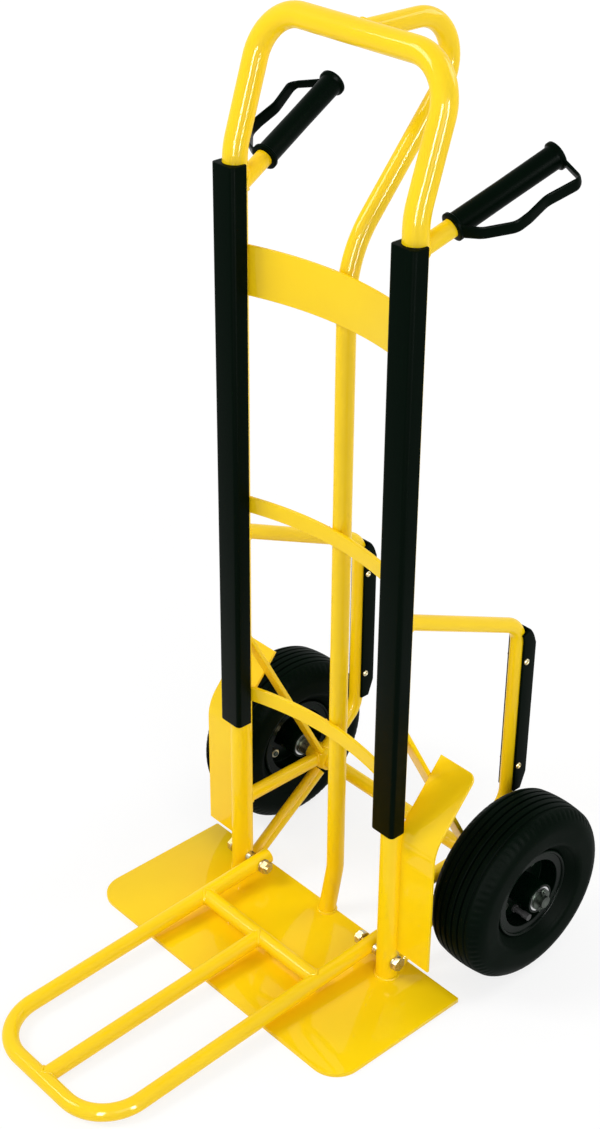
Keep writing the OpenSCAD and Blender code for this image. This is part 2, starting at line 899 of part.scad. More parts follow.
module pivot_bolts() {
    shank = head_x() - nut_x() + 3;
    color(zinc) placed() for (side = [-1, 1]) {
        on_pivot(side, head_x() - shank) cylinder(d = pivot_d, h = shank + 1);
        on_pivot(side, head_x()) cylinder(r = hex_r, h = head_h, $fn = 6);
    }
}

// A plain washer under each head and one under each nut
module pivot_washers() {
    color(zinc) placed() for (side = [-1, 1], x = [up_x + frame_r, nut_x() + nut_h])
        on_pivot(side, x) ring(plain_r, pivot_d / 2 + seat_fit, plain_t);
}

// Spacers between the uprights and the extension's side tubes
module pivot_spacers() {
    color(zinc) placed() for (side = [-1, 1])
        on_pivot(side, ext_x + ext_rad + end_fit)
            ring(plain_r * 0.8, pivot_d / 2 + seat_fit, spacer_len - end_fit);
}

module pivot_nuts() {
    color(zinc) placed() for (side = [-1, 1]) on_pivot(side, nut_x()) difference() {
        cylinder(r = hex_r, h = nut_h, $fn = 6);
        translate([0, 0, -1]) cylinder(r = pivot_d / 2 + seat_fit, h = nut_h + 2);
    }
}

// Lays the extension, drawn level with its pivot on the X axis, in its rest place
module extended() {
    translate([0, 0, pivot_z]) rotate([ext_slope, 0, 0]) children();
}

module extension_frame_tube() {
    path = [[-ext_x, ext_tail, 0], [-ext_x, -ext_len, 0], [ext_x, -ext_len, 0],
        [ext_x, ext_tail, 0]];
    color(paint) placed() extended() difference() {
        bent_tube(path, [0, ext_r, ext_r, 0], ext_d, ext_wall);
        rotate([0, 90, 0])
            cylinder(r = pivot_d / 2 + run_fit, h = 2 * ext_x + 60, center = true);
    }
}

module extension_centre_bar() {
    color(paint) placed() extended() difference() {
        straight_tube([0, -ext_cross, 0], [0, -ext_len, 0], ext_d, ext_wall);
        for (y = [-ext_cross, -ext_len]) translate([0, y, 0]) rotate([0, 90, 0])
            cylinder(r = ext_rad + weld, h = ext_d + 20, center = true);
    }
}

module extension_cross_bar() {
    color(paint) placed() extended() difference() {
        straight_tube([-ext_x, -ext_cross, 0], [ext_x, -ext_cross, 0], ext_d, ext_wall);
        for (x = [-ext_x, ext_x]) translate([x, -ext_cross, 0]) rotate([90, 0, 0])
            cylinder(r = ext_rad + weld, h = ext_d + 20, center = true);
    }
}

// Lays a shape turned about +Z in the middle of a wheel, with +Z pointing outward
module on_wheel(side) {
    on_axle(side, wheel_x) children();
}

// Tyre section: a rounded carcass with grooves round the tread, open between the beads
module tyre_section() {
    difference() {
        intersection() {
            translate([tyre_r - crown_r, 0]) circle(crown_r, $fn = 160);
            union() {
                tread_block();
                bead_block();
            }
        }
        translate([air_r, 0]) air_space();
        for (y = [-5 : 2 : 5]) translate([tyre_r - 4, y * groove_gap / 2 - 1])
            square([8, 2]);
    }
}

// Outer part of the section, with round shoulders
module tread_block() {
    flat_w = tyre_w / 2 - shoulder_r;
    intersection() {
        union() {
            for (y = [-flat_w, flat_w]) translate([tyre_r - shoulder_r, y])
                circle(shoulder_r);
            translate([tyre_r - shoulder_r, -flat_w]) square([shoulder_r, 2 * flat_w]);
        }
        translate([tyre_r - shoulder_r, -tyre_w]) square([shoulder_r + 1, 2 * tyre_w]);
    }
    translate([wall_r, -tyre_w / 2]) square([tyre_r - shoulder_r - wall_r, tyre_w]);
}

// Side walls that draw in to the two beads
module bead_block() {
    polygon([[seat_r, -bead_gap / 2], [lip_r + 1, -bead_gap / 2], [wall_r, -tyre_w / 2],
        [wall_r, tyre_w / 2], [lip_r + 1, bead_gap / 2], [seat_r, bead_gap / 2]]);
}

// Hollow of the tyre about its own middle, round outside and narrow between the beads
module air_space() {
    half_w = tyre_w / 2 - carcass_t;
    neck = bead_gap / 2 - 11;
    intersection() {
        circle(half_w);
        translate([-half_w, -half_w]) square([half_w + air_high, 2 * half_w]);
    }
    translate([seat_r - air_r - 2, -neck]) square([air_r - seat_r, 2 * neck]);
}

module tyre(side) {
    color(rubber) placed() on_wheel(side) rotate_extrude($fn = 120) tyre_section();
}

module left_tyre() {
    tyre(-1);
}

module right_tyre() {
    tyre(1);
}

// Closed rubber tube that holds the air, sealed inside the tyre
module inner_tube(side) {
    color(inner_rubber) placed() on_wheel(side) rotate_extrude($fn = 96)
        translate([air_r, 0]) difference() {
            circle(air_high - end_fit);
            circle(air_high - 2.3);
        }
}

module left_inner_tube() {
    inner_tube(-1);
}

module right_inner_tube() {
    inner_tube(1);
}

// Half of the rim's section, drawn for the outer half: lip, bead seat, web and hub seat
module rim_half(sign) {
    half_gap = bead_gap / 2 + 0.2;
    in_r = hub_d / 2 + seat_fit;
    mirror([0, sign < 0 ? 1 : 0]) union() {
        translate([seat_r - 0.2 - rim_t, web_gap]) square([rim_t, half_gap + rim_t - web_gap]);
        translate([seat_r - 0.2 - rim_t, half_gap])
            square([lip_r - seat_r + rim_t, rim_t]);
        translate([lip_r - 0.4, half_gap + rim_t]) circle(rim_t, $fn = 32);
        translate([in_r, web_gap]) square([seat_r - rim_t - in_r, rim_t]);
    }
}

module rim(side, sign) {
    color(dark_rim) placed() on_wheel(side) difference() {
        rotate_extrude($fn = 120) rim_half(sign);
        rim_bolt_places() translate([0, 0, -20])
            cylinder(r = bolt_d / 2 + seat_fit, h = 40);
        if (sign > 0) valve_place() translate([0, 0, -10])
            cylinder(r = valve_d / 2 + end_fit / 2, h = bead_gap);
    }
}

module rim_bolt_places() {
    for (i = [0 : bolt_count - 1]) rotate([0, 0, 45 + i * 360 / bolt_count])
        translate([bolt_ring_r, 0, 0]) children();
}

module left_outer_rim() {
    rim(-1, 1);
}

module right_outer_rim() {
    rim(1, 1);
}

module left_inner_rim() {
    rim(-1, -1);
}

module right_inner_rim() {
    rim(1, -1);
}

// Hub with a bearing pocket at each end
module hub(side) {
    color(dark_rim) placed() on_wheel(side) difference() {
        translate([0, 0, -hub_len / 2]) cylinder(d = hub_d, h = hub_len);
        translate([0, 0, -hub_len / 2 - 1]) cylinder(r = bearing_r - 3, h = hub_len + 2);
        for (a = [-1, 1]) translate([0, 0, a * (hub_len - bearing_w) / 2])
            cylinder(r = bearing_r + 0.02, h = bearing_w + 0.02, center = true);
    }
}

module left_hub() {
    hub(-1);
}

module right_hub() {
    hub(1);
}

// Outer rings and balls of one wheel's two bearings
module hub_bearings(side) {
    color(steel) placed() for (x = bearing_places()) on_axle(side, x) {
        ring(bearing_r, outer_ring_r, bearing_w);
        for (i = [0 : ball_count - 1]) rotate([0, 0, i * 360 / ball_count])
            translate([ball_ring_r, 0, bearing_w / 2]) sphere(d = ball_d, $fn = 32);
    }
}

module left_hub_bearings() {
    hub_bearings(-1);
}

module right_hub_bearings() {
    hub_bearings(1);
}

module rim_bolts(side) {
    clamped = rim_t + web_gap;
    color(zinc) placed() on_wheel(side) rim_bolt_places() union() {
        translate([0, 0, clamped]) cylinder(r = hex_bolt_r, h = bolt_head_t, $fn = 6);
        translate([0, 0, -clamped - bolt_d]) cylinder(d = bolt_d, h = 2 * clamped + bolt_d + 1);
    }
}

module left_rim_bolts() {
    rim_bolts(-1);
}

module right_rim_bolts() {
    rim_bolts(1);
}

module rim_nuts(side) {
    color(zinc) placed() on_wheel(side) rim_bolt_places()
        translate([0, 0, -rim_t - web_gap - nut_t]) difference() {
            cylinder(r = hex_bolt_r, h = nut_t, $fn = 6);
            translate([0, 0, -1]) cylinder(r = bolt_d / 2 + seat_fit, h = nut_t + 2);
        }
}

module left_rim_nuts() {
    rim_nuts(-1);
}

module right_rim_nuts() {
    rim_nuts(1);
}

// Place of the valve, between two rim bolts and close under the bead seat
module valve_place() {
    translate([seat_r - rim_t - 7, 0, 0]) children();
}

// Rubber valve stem with its cap
module valve(side) {
    color(plastic) placed() on_wheel(side) valve_place() union() {
        translate([0, 0, rim_t + web_gap]) cylinder(d = valve_foot_d, h = valve_foot_t);
        translate([0, 0, 2 * web_gap]) cylinder(d = valve_d, h = valve_len);
        translate([0, 0, valve_len - 1]) cylinder(d = valve_cap_d, h = valve_cap_len);
    }
}

module left_valve() {
    valve(-1);
}

module right_valve() {
    valve(1);
}

main_frame_tube();
centre_tube();
upper_back_plate();
middle_strap();
lower_strap();
toe_plate();
left_load_guard();
right_load_guard();
left_handle_tube();
right_handle_tube();
left_grip();
right_grip();
left_mudguard();
right_mudguard();
left_axle_strut();
right_axle_strut();
left_base_strut();
right_base_strut();
left_upper_brace();
right_upper_brace();
left_axle_boss();
right_axle_boss();
axle_tube();
axle();
axle_collars();
axle_washers();
split_pins();
bearing_inner_rings();
left_skid_tube();
right_skid_tube();
left_skid_strip();
right_skid_strip();
skid_rivets();
pivot_bolts();
pivot_washers();
pivot_spacers();
pivot_nuts();
extension_frame_tube();
extension_centre_bar();
extension_cross_bar();
left_tyre();
right_tyre();
left_inner_tube();
right_inner_tube();
left_outer_rim();
right_outer_rim();
left_inner_rim();
right_inner_rim();
left_hub();
right_hub();
left_hub_bearings();
right_hub_bearings();
left_rim_bolts();
right_rim_bolts();
left_rim_nuts();
right_rim_nuts();
left_valve();
right_valve();
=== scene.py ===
import json
import math

import bmesh
import bpy
import numpy as np
from mathutils import Matrix, Vector


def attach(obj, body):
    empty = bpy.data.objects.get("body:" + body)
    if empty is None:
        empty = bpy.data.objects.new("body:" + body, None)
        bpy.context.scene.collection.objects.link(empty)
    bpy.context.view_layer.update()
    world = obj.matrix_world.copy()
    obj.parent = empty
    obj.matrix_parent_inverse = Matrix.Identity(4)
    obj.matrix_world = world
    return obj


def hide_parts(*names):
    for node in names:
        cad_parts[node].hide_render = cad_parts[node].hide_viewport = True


bl_info = {
    "name": "Sack truck",
    "version": (1, 0, 0),
    "blender": (4, 5, 0),
    "location": "View3D > Sidebar > Sack truck",
    "description": "Dresses the packed sack truck with smooth pieces and finishes",
    "category": "Object",
}

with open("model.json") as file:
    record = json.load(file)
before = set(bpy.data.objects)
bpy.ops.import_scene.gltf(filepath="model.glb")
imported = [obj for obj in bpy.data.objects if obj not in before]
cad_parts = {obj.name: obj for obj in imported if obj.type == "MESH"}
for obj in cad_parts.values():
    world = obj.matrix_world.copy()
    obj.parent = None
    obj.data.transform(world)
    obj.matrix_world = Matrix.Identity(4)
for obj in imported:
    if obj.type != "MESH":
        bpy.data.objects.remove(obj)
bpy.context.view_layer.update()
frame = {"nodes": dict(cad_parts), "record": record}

# Sizes are in millimetres, in the truck's own axes before its middle is put over the origin:
# X across, Y back from the uprights, Z up from the floor.
UP = np.array([0.0, 0.0, 1.0])
ACROSS = np.array([1.0, 0.0, 0.0])
BACK = np.array([0.0, 1.0, 0.0])
SIDES = (("left", -1), ("right", 1))

# Places that several pieces share
MIDDLE_Y = -93.7098
UP_X = 147.0
TOP_Z = 1220.0
AXLE_Y, AXLE_Z = 152.0, 127.0
PLATE_T = 6.0
WHEEL_X, TYRE_R = 228.5, 127.0

# Each tube's outside diameter and wall, and the outside radii that the welds follow
MAIN_TUBE, CENTRE_TUBE, HANDLE_TUBE = (30, 2), (24, 2), (22, 2)
STRUT_TUBE, SKID_TUBE, COVER_TUBE = (20, 1.5), (20, 1.5), (21, 2)
LOOP_TUBE, CROSS_TUBE = (22, 2), (21.8, 2)
MAIN_R, CENTRE_R, HANDLE_R, STRUT_R, LOOP_R = (
    size[0] / 2 for size in (MAIN_TUBE, CENTRE_TUBE, HANDLE_TUBE, STRUT_TUBE, LOOP_TUBE))
BOSS_R, BOSS_BORE_R, BOSS_HALF = 15, 8.1, 18

# Main tube: where the uprights start to lean, the top bar's place and the bends
LEAN_Z, TOP_Y = 1065, 49.753
LEAN_BEND, TOP_BEND = 90, 58
MAIN_PATH = [np.array(p, float) for p in (
    (-UP_X, 0, PLATE_T), (-UP_X, 0, LEAN_Z), (-UP_X, TOP_Y, TOP_Z),
    (UP_X, TOP_Y, TOP_Z), (UP_X, 0, LEAN_Z), (UP_X, 0, PLATE_T))]

# Centre tube: the kink towards the rear handle, the handle's nose, the step at the foot and
# how far behind the top bar's middle the tube starts, inside that bar
CENTRE_Y, KINK_Z, KINK = 42.1, 966.0, math.radians(40.515)
NOSE_Y = CENTRE_Y + (TOP_Z - KINK_Z) * math.tan(KINK)
FOOT_Z, FOOT_STEP = 74.0, 14.155
CENTRE_BENDS = [54, 140, 60]
CENTRE_START = 8.5

# Struts and braces: where each starts and stops, measured from the uprights, the plate's top
# and the axle, and the height below the axle that the base struts aim at
COVER_HALF = 128.9
AXLE_STRUT_Y, AXLE_STRUT_STOP = 10.5, 13
BASE_Y, BASE_STOP_Y, BASE_STOP_Z, BASE_AIM_Z = 12, 6, 21.6, 17
BRACE_Z, BRACE_STOP_Y, BRACE_STOP_Z = 414, 6, 12
BRACE_START, BRACE_END, BRACE_W, BRACE_T = 15, 4, 21, 6

# Handles and grips, with places along a handle measured from the upright's middle
SPLAY, RISE = math.radians(11.1), math.radians(22.8)
HANDLE_X, HANDLE_Z = 142.5, 1021
HANDLE_FROM, HANDLE_TO = 3, 197
GRIP_FROM, GRIP_LEN, GRIP_BORE_R = 54, 149, 11.1
FLANGE = np.array([(0.8, 17), (4.2, 17), (5.2, 15.8), (6.6, 14.3), (9, 14)])
GRIP_NEAR, GRIP_WAIST, GRIP_FAR = [(0, GRIP_BORE_R), (0, 15.6)], (75, 13.7), [(149, 15.8), (149, 3), (149, 0)]
# The knuckle band: places as (along the grip, out from its axis), bends, width and thickness
BAND_SPOTS = [(3, 13), (16, 34), (46, 56), (64, 55), (92, 49), (137, 56), (146, 13)]
BAND_BENDS = [26, 18, 24, 30, 10]
BAND_RUN, BAND_WIDTH = [0, 0.1, 0.75, 0.92, 1], [17, 15.5, 15, 9.5, 10.5]
BAND_T, BAND_CORNER, BAND_DROOP = 4.0, 0.32, math.radians(8)

# Toe plate: half its width, how far it reaches to the front and the rear, its corners, and its
# eased rim as (drawn in, above the underside)
PLATE_HALF, PLATE_FRONT, PLATE_REAR, PLATE_CORNER, REAR_CUT = 246, 188, 36, 38, 1.5
RIM = ((0.6, 0.0), (0.15, 0.15), (0.0, 0.6))

# Straps: height above the floor, width and thickness. Then half the distance between their
# ends, how far they run on, and where their back face is at the ends and in the middle
STRAPS = {"upper_back_plate": (919, 64, 4), "middle_strap": (602, 22, 5), "lower_strap": (311, 22, 5)}
STRAP_HALF, STRAP_OVER, STRAP_END, STRAP_MID = 132.0, 2.2, 9.0, 30.0

# Mudguards: the bend and the length above it, heights, inner and outer edge from the upright
MUD_TILT, MUD_BEND, MUD_LEN = math.radians(39.891), 60, 109
MUD_Y, MUD_LOW_Z, MUD_BEND_Z = 3, 54, 252
MUD_IN, MUD_OUT, MUD_HALF_T, MUD_CORNER = 11, 72, 2.0, 12

# Load guards: each one's lower end, then the section that both share, whose round inside goes
# on past the half circle by a share of it
GUARD_LOW = {"left": 266.0, "right": 252.0}
GUARD_LEN, GUARD_HALF, GUARD_FRONT, GUARD_CORNER, CLIP_R = 784.0, 19.25, 21.0, 6.0, 15.05
CLIP_PAST, GUARD_SIDE_Y, GUARD_REAR_Y, GUARD_REAR_IN = 0.045, 1.2, 2.0, 0.8
GUARD_RIM = [(0.0, 1.0), (0.25, 0.35), (0.9, 0.0)]

# Skid tubes: the run straight down, the fall from the upright to it and its end's height
# above the axle; then the strips' ends, section, swell below the top and taper at the tail
SKID_Y, SKID_TOP_Z, SKID_FALL, SKID_RISE = 218, 560, 97.293, 60.038
SKID_BENDS = [35, 40]
SKID_START, SKID_STOP = 6, 8
STRIP_TOP_Z, STRIP_LOW_Z, STRIP_TURN = 440.0, AXLE_Z + 78.72, math.radians(24)
STRIP_HALF, STRIP_BACK, STRIP_THIN, STRIP_CLIP, STRIP_LIP = 14, 21, 13, 10.1, 2
STRIP_SWELL, STRIP_TAIL, STRIP_TAPER = 0.42, 24, 0.36
RIVET_Y, RIVET_ZS = 222, (246, 412)
RIVET_HEAD = [(0, 4.5), (0.9, 4.4), (1.7, 3.8), (2.0, 3.1), (1.8, 2.4), (1.2, 2.0), (0.4, 1.9), (0.4, 0)]

# Toe extension: pivots, length, the tail behind them, bends, the cross bar's place, the gap
# between beads and floor, and the slope that lets the far end lie on the floor
EXT_HALF, EXT_Z, EXT_LEN, EXT_TAIL, EXT_BEND, CROSS_AT, FLOOR_GAP = 114, 34, 456, 19, 65, 97, 0.1
EXT_SLOPE = math.asin((EXT_Z - LOOP_R) / EXT_LEN)

# Weld beads: their radii, and the places of the straight runs on straps and mudguards
THIN_BEAD_R, END_BEAD_R, STRAP_BEAD_R, EXT_BEAD_R = 2.0, 1.8, 1.6, 1.9
STRAP_WELD_X, STRAP_WELD_Y, STRAP_WELD_OUT = 11.3, 31.5, 1.2
STRAP_WELD_YS = (STRAP_END - 3.4, STRAP_END + 1.6)
MUD_WELD_ZS, MUD_WELD_OUT, MUD_WELD_Y, MUD_WELD_HALF = (80, 140, 200), 13, 5.5, 14
# Where each seam is followed from: a place on its tube's axis, clear of what the tube meets
FOOT_SEAM_Z, AXLE_SEAM_Y, BASE_SEAM_Y, SKID_SEAM_Y = 60, 80, 60, 200
HANDLE_SEAM, BASE_SEAM, EXT_SEAM = 60, 40, 300

# Tyres: half the tread's flat width, shoulder and crown radii, grooves, the outline as (along
# the axle, radius) from the side wall to the bead and across the inside, and shoulder cuts
TREAD_HALF, SHOULDER_R, CROWN_R = 17, 28, 160
GROOVES, GROOVE_HALF, GROOVE_SLOPE = (5.0, 15.0, 25.0), 1.6, 0.7
SIDE_WALL = np.array([(45, 84), (44.2, 79.5), (42.6, 77.2), (40.5, 75.0), (39.4, 74.4), (38.6, 73.4),
                      (33, 68.2), (29.5, 65.4), (27.6, 63.4), (27, 61.5), (27, 52.2)])
TYRE_INSIDE = [(-27, 52.2), (-20, 60), (0, 62), (20, 60)]
CUT_AT, CUT_REACH, CUT_DEPTH, CUT_FROM_R, CUT_LEVEL, CUT_STEEP = 36, 5.5, 1.6, 100, 0.35, 3
TYRE_STEPS = 288

# Wheels: rim halves of bent sheet with a rolled lip, hub, and bolts on a circle
SHEET_T, RIM_GAP, RIM_HALF, SEAT_R, HUB_FIT_R = 2.5, 0.1, 27.2, 51.8, 21.05
LIP_FOOT_R, LIP_R = 61.4, 61.6
HUB_HALF, HUB_R, BEARING_R, BEARING_AT, HUB_BORE_R = 44, 21, 17.5, 33, 14.5
BOLTS, BOLT_CIRCLE_R, BOLT_R, HEAD_R, HEAD_T, NUT_BORE_R = 4, 35, 4, 7.2, 5, 4.05
FIRST_BOLT, NUT_END, BOLT_END, BOLT_INTO, HEAD_TURN, NUT_TURN = 45, 9.0, 10.6, 0.2, 0.3, 0.5

# Camera, in the truck's axes
EYE, EYE_TURN, EYE_PITCH, EYE_ROLL = (1471.11, -1374.05, 1772.98), 47.54, 30.78, 0.43
LENS, SENSOR = 60.65, 36.0

# Floor: half its width, then how its own white fades in with distance, in metres
FLOOR_HALF, FADE_FROM, FADE_TO, FADE_LOW, FLOOR_GLOW = 9, 1.2, 3.2, 0.78, 1.03

# How bright the white world is where it is seen, and as a light
WORLD_SEEN, WORLD_LIGHT = 1.0, 0.55

# Studio lamps: place and aim in metres, size, power in watts
LAMPS = (("key", (-2.0, -2.4, 3.6), (0, 0, 0.5), (1.6, 1.6), 92),
         ("fill", (3.6, -1.2, 2.2), (0, 0, 0.6), (2.0, 2.0), 43),
         ("strip_left", (1.73, -2.66, 1.55), (0, 0, 1.1), (0.6, 2.3), 180),
         ("strip_right", (3.1, -0.2, 1.35), (0, 0, 1.1), (0.45, 2.3), 130),
         ("back", (1.0, 3.2, 2.8), (0, 0, 0.6), (1.8, 1.8), 44))


# Shapes

def vec(*v):
    return np.array(v, float)


def unit(v):
    v = np.asarray(v, float)
    return v / np.linalg.norm(v, axis=-1, keepdims=True)


def row(p):
    """Millimetres in the truck's axes to metres in the shared frame."""
    return (np.asarray(p, float) - vec(0, MIDDLE_Y, 0)) / 1000


def bent(corners, radii, step=5.0):
    """Points and directions along straight runs joined by arcs. Each arc touches both runs:
    p = c + r (sin t u - cos t n), with u along the first run and n towards the arc's centre c."""
    corners = [np.asarray(c, float) for c in corners]
    pts, dirs = [corners[0][None]], [unit(corners[1] - corners[0])[None]]
    for a, b, c, r in zip(corners, corners[1:], corners[2:], radii):
        u, v = unit(b - a), unit(c - b)
        turn = math.acos(np.clip(u @ v, -1, 1))
        n = unit(v - (v @ u) * u)
        t = np.linspace(0, turn, max(4, int(r * turn / step) + 1))[:, None]
        centre = b - u * r * math.tan(turn / 2) + r * n
        pts.append(centre + r * (np.sin(t) * u - np.cos(t) * n))
        dirs.append(np.cos(t) * u + np.sin(t) * n)
    pts.append(corners[-1][None])
    dirs.append(unit(corners[-1] - corners[-2])[None])
    return np.concatenate(pts), np.concatenate(dirs)


def carried(profile, pts, dirs, ref):
    """A flat profile carried along a path: p = c + x n + y (t x n), with n the reference
    direction made square to the path's direction t. The profile may change along the path."""
    n = unit(ref - (dirs @ ref)[:, None] * dirs)
    b = np.cross(dirs, n)
    profile = np.broadcast_to(profile, (len(pts),) + np.shape(profile)[-2:])
    return pts[:, None] + profile[..., :1] * n[:, None] + profile[..., 1:] * b[:, None]


def circle(r, n=40):
    """n points at even angles on a circle of radius r."""
    a = np.arange(n) * 2 * np.pi / n
    return r * np.stack([np.cos(a), np.sin(a)], 1)


def soft_box(w, h, r, n=5):
    """A rectangle w by h whose corners are quarter circles of radius r, as a closed ring."""
    a = np.linspace(0, np.pi / 2, n)
    x, y = w / 2 - r, h / 2 - r
    quarter = [((sx * x + r * np.cos(a + q)), (sy * y + r * np.sin(a + q)))
               for sx, sy, q in ((1, 1, 0), (-1, 1, np.pi / 2), (-1, -1, np.pi), (1, -1, 1.5 * np.pi))]
    return np.concatenate([np.stack(c, 1) for c in quarter])


def turned(profile, centre, axis, ref, n=96):
    """A surface of revolution: profile points (h, r) give p = c + h a + r (cos t e + sin t f)."""
    e = unit(ref - (axis @ ref) * axis)
    f = np.cross(axis, e)
    t = np.arange(n)[:, None, None] * 2 * np.pi / n
    profile = np.asarray(profile, float)
    h, r = profile[:, :1], profile[:, 1:]
    return centre + h * axis + r * (np.cos(t) * e + np.sin(t) * f)


def eased(points, r=0.4, n=3):
    """A closed flat outline with each corner replaced by a short curve: quadratic blends of
    the corner and the points at distance r on both sides of it."""
    p = np.asarray(points, float)
    before, after = np.roll(p, 1, 0), np.roll(p, -1, 0)
    la, lb = np.linalg.norm(before - p, axis=1), np.linalg.norm(after - p, axis=1)
    d = np.minimum(r, 0.45 * np.minimum(la, lb))[:, None]
    a, b = p + (before - p) / la[:, None] * d, p + (after - p) / lb[:, None] * d
    t = np.linspace(0, 1, n)[None, :, None]
    q = (1 - t) ** 2 * a[:, None] + 2 * t * (1 - t) * p[:, None] + t ** 2 * b[:, None]
    return q.reshape(-1, 2)


class Sheet:
    """A grid of points made a mesh of quads. Each of its rows is a closed ring. The last row
    is joined to the first where it is a loop, and both are capped where it has ends."""

    def __init__(self, grid, loop=False, ends=False):
        self.grid, self.loop, self.ends = np.asarray(grid), loop, ends

    def faces(self, start):
        n, m = self.grid.shape[:2]
        i = np.arange(n if self.loop else n - 1)[:, None]
        j = np.arange(m)[None]
        k, q = (i + 1) % n, (j + 1) % m
        quads = np.stack([i * m + j, k * m + j, k * m + q, i * m + q], -1).reshape(-1, 4) + start
        out = quads.tolist()
        if self.ends:
            out.append((start + np.arange(m)).tolist())
            out.append((start + (n - 1) * m + np.arange(m))[::-1].tolist())
        return out


def solid(name, sheets, sharp):
    """Joins grids into one mesh object, with doubles merged, faces outward and hard edges
    kept where neighbouring faces meet at more than the sharp angle."""
    verts, faces, start = [], [], 0
    for s in sheets:
        verts.append(s.grid.reshape(-1, 3))
        faces += s.faces(start)
        start += len(verts[-1])
    mesh = bpy.data.meshes.new(name)
    mesh.from_pydata(row(np.concatenate(verts)).tolist(), [], faces)
    work = bmesh.new()
    work.from_mesh(mesh)
    bmesh.ops.remove_doubles(work, verts=work.verts, dist=2e-6)
    bmesh.ops.recalc_face_normals(work, faces=work.faces)
    work.to_mesh(mesh)
    work.free()
    mesh.polygons.foreach_set("use_smooth", np.ones(len(mesh.polygons), bool))
    mesh.set_sharp_from_angle(angle=math.radians(sharp))
    mesh.update()
    piece = bpy.data.objects.new(name, mesh)
    bpy.context.scene.collection.objects.link(piece)
    return piece


def dressed(name, sheets, body, slot, *nodes, sharp=32.0, finish=None):
    """A piece with its finish and the body it moves with, which hides the nodes that it stands for.
    Its finish is the slot's own, unless another one is given."""
    piece = solid(name, sheets, sharp)
    piece.data.materials.append(FINISHES[finish or slot])
    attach(piece, body)
    if nodes:
        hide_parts(*nodes)
    return piece


def painted(name, sheets, node=None, sharp=32.0, body="frame"):
    """A piece in the yellow powder coat that stands for one node, or for none."""
    nodes = [node] if node else []
    return dressed(name, sheets, body, "yellow_paint", *nodes, sharp=sharp)


def tube(corners, radii, d, wall, ref, sides=40):
    """A bent tube with its wall: the outer circle carried along the path, then the inner one
    back along it, joined at both open ends."""
    pts, dirs = bent(corners, radii)
    outer = carried(circle(d / 2, sides), pts, dirs, ref)
    inner = carried(circle(d / 2 - wall, sides), pts, dirs, ref)[::-1]
    return Sheet(np.concatenate([outer, inner]), loop=True)


def cut_level(sheet, way, z):
    """Slides the points that lie below height z up along a tube to it, so that its end is level."""
    rise = np.maximum(z - sheet.grid[..., 2], 0) / way[2]
    sheet.grid = sheet.grid + rise[..., None] * way
    return sheet


def bar(corners, radii, profile, ref, ease=0.5):
    """A solid bar: a closed profile carried along a path and capped, its end rings drawn in
    a little so that the end edges are eased."""
    pts, dirs = bent(corners, radii)
    start, end = pts[:1] + ease * dirs[:1], pts[-1:] - ease * dirs[-1:]
    pts = np.concatenate([pts[:1], start, pts[1:-1], end, pts[-1:]])
    dirs = np.concatenate([dirs[:1], dirs, dirs[-1:]])
    inset = 1 - ease / np.abs(profile).max(0)
    profile = np.broadcast_to(profile, (len(pts),) + profile.shape).copy()
    profile[[0, -1]] *= inset
    return Sheet(carried(profile, pts, dirs, ref), ends=True)


def lathe(points, centre, axis, ref=UP, n=96, ease=0.5):
    """A closed turned piece: the outline, with eased corners, turned about an axis."""
    return Sheet(turned(eased(points, ease), centre, axis, ref, n), loop=True)


def pin(h0, h1, r, centre, axis, n=40, ease=0.6):
    """A short solid cylinder from h0 to h1 with eased rims and closed faces."""
    points = [(h0, 0), (h0, r - ease), (h0 + ease * 0.3, r - ease * 0.3), (h0 + ease, r),
              (h1 - ease, r), (h1 - ease * 0.3, r - ease * 0.3), (h1, r - ease), (h1, 0)]
    return Sheet(np.swapaxes(turned(points, centre, axis, ref_for(axis), n), 0, 1))


def ref_for(axis):
    """A direction that isn't close to an axis, to measure angles about it from."""
    return UP if abs(axis[2]) < 0.9 else BACK


def hexagon(h0, h1, r, centre, axis, hole=0.0, turn=0.0, n=72, chamfer=0.97):
    """A hexagonal head or nut: at the angle t its flats lie at r cos 30 / cos(t'), with t' the
    angle from the middle of the flat, cut at both rims by a cone that touches the flats."""
    t = np.arange(n) * 2 * np.pi / n
    local = (t + turn) % (np.pi / 3) - np.pi / 6
    across = r * math.cos(math.pi / 6)
    flat = across / np.cos(local)
    e = unit(ref_for(axis) - (axis @ ref_for(axis)) * axis)
    f = np.cross(axis, e)
    spoke = np.cos(t)[:, None] * e + np.sin(t)[:, None] * f
    rim = np.full(n, across * chamfer)
    drop = (flat - rim) / 2
    rings = [(h0, np.full(n, hole)), (h0, rim), (h0 + drop, flat), (h1 - drop, flat), (h1, rim),
             (h1, np.full(n, hole))]
    grid = np.stack([centre + np.asarray(h)[..., None] * axis + rr[:, None] * spoke for h, rr in rings])
    return Sheet(grid, loop=hole > 0)


# Weld beads

def seam_on_tube(start, way, r, at, along, big_r, n=56):
    """Where a tube of radius r meets another tube: each line q + k way along its wall is
    followed to the first point at distance big_r from the other tube's axis."""
    way, along = unit(way), unit(along)
    e = unit(np.cross(way, along))
    f = np.cross(way, e)
    t = np.arange(n) * 2 * np.pi / n
    q = start + r * (np.cos(t)[:, None] * e + np.sin(t)[:, None] * f)
    w = (q - at) - ((q - at) @ along)[:, None] * along
    d = way - (way @ along) * along
    a, b, c = d @ d, 2 * w @ d, (w * w).sum(1) - big_r ** 2
    k = (-b - np.sqrt(np.maximum(b * b - 4 * a * c, 0))) / (2 * a)
    return q + k[:, None] * way


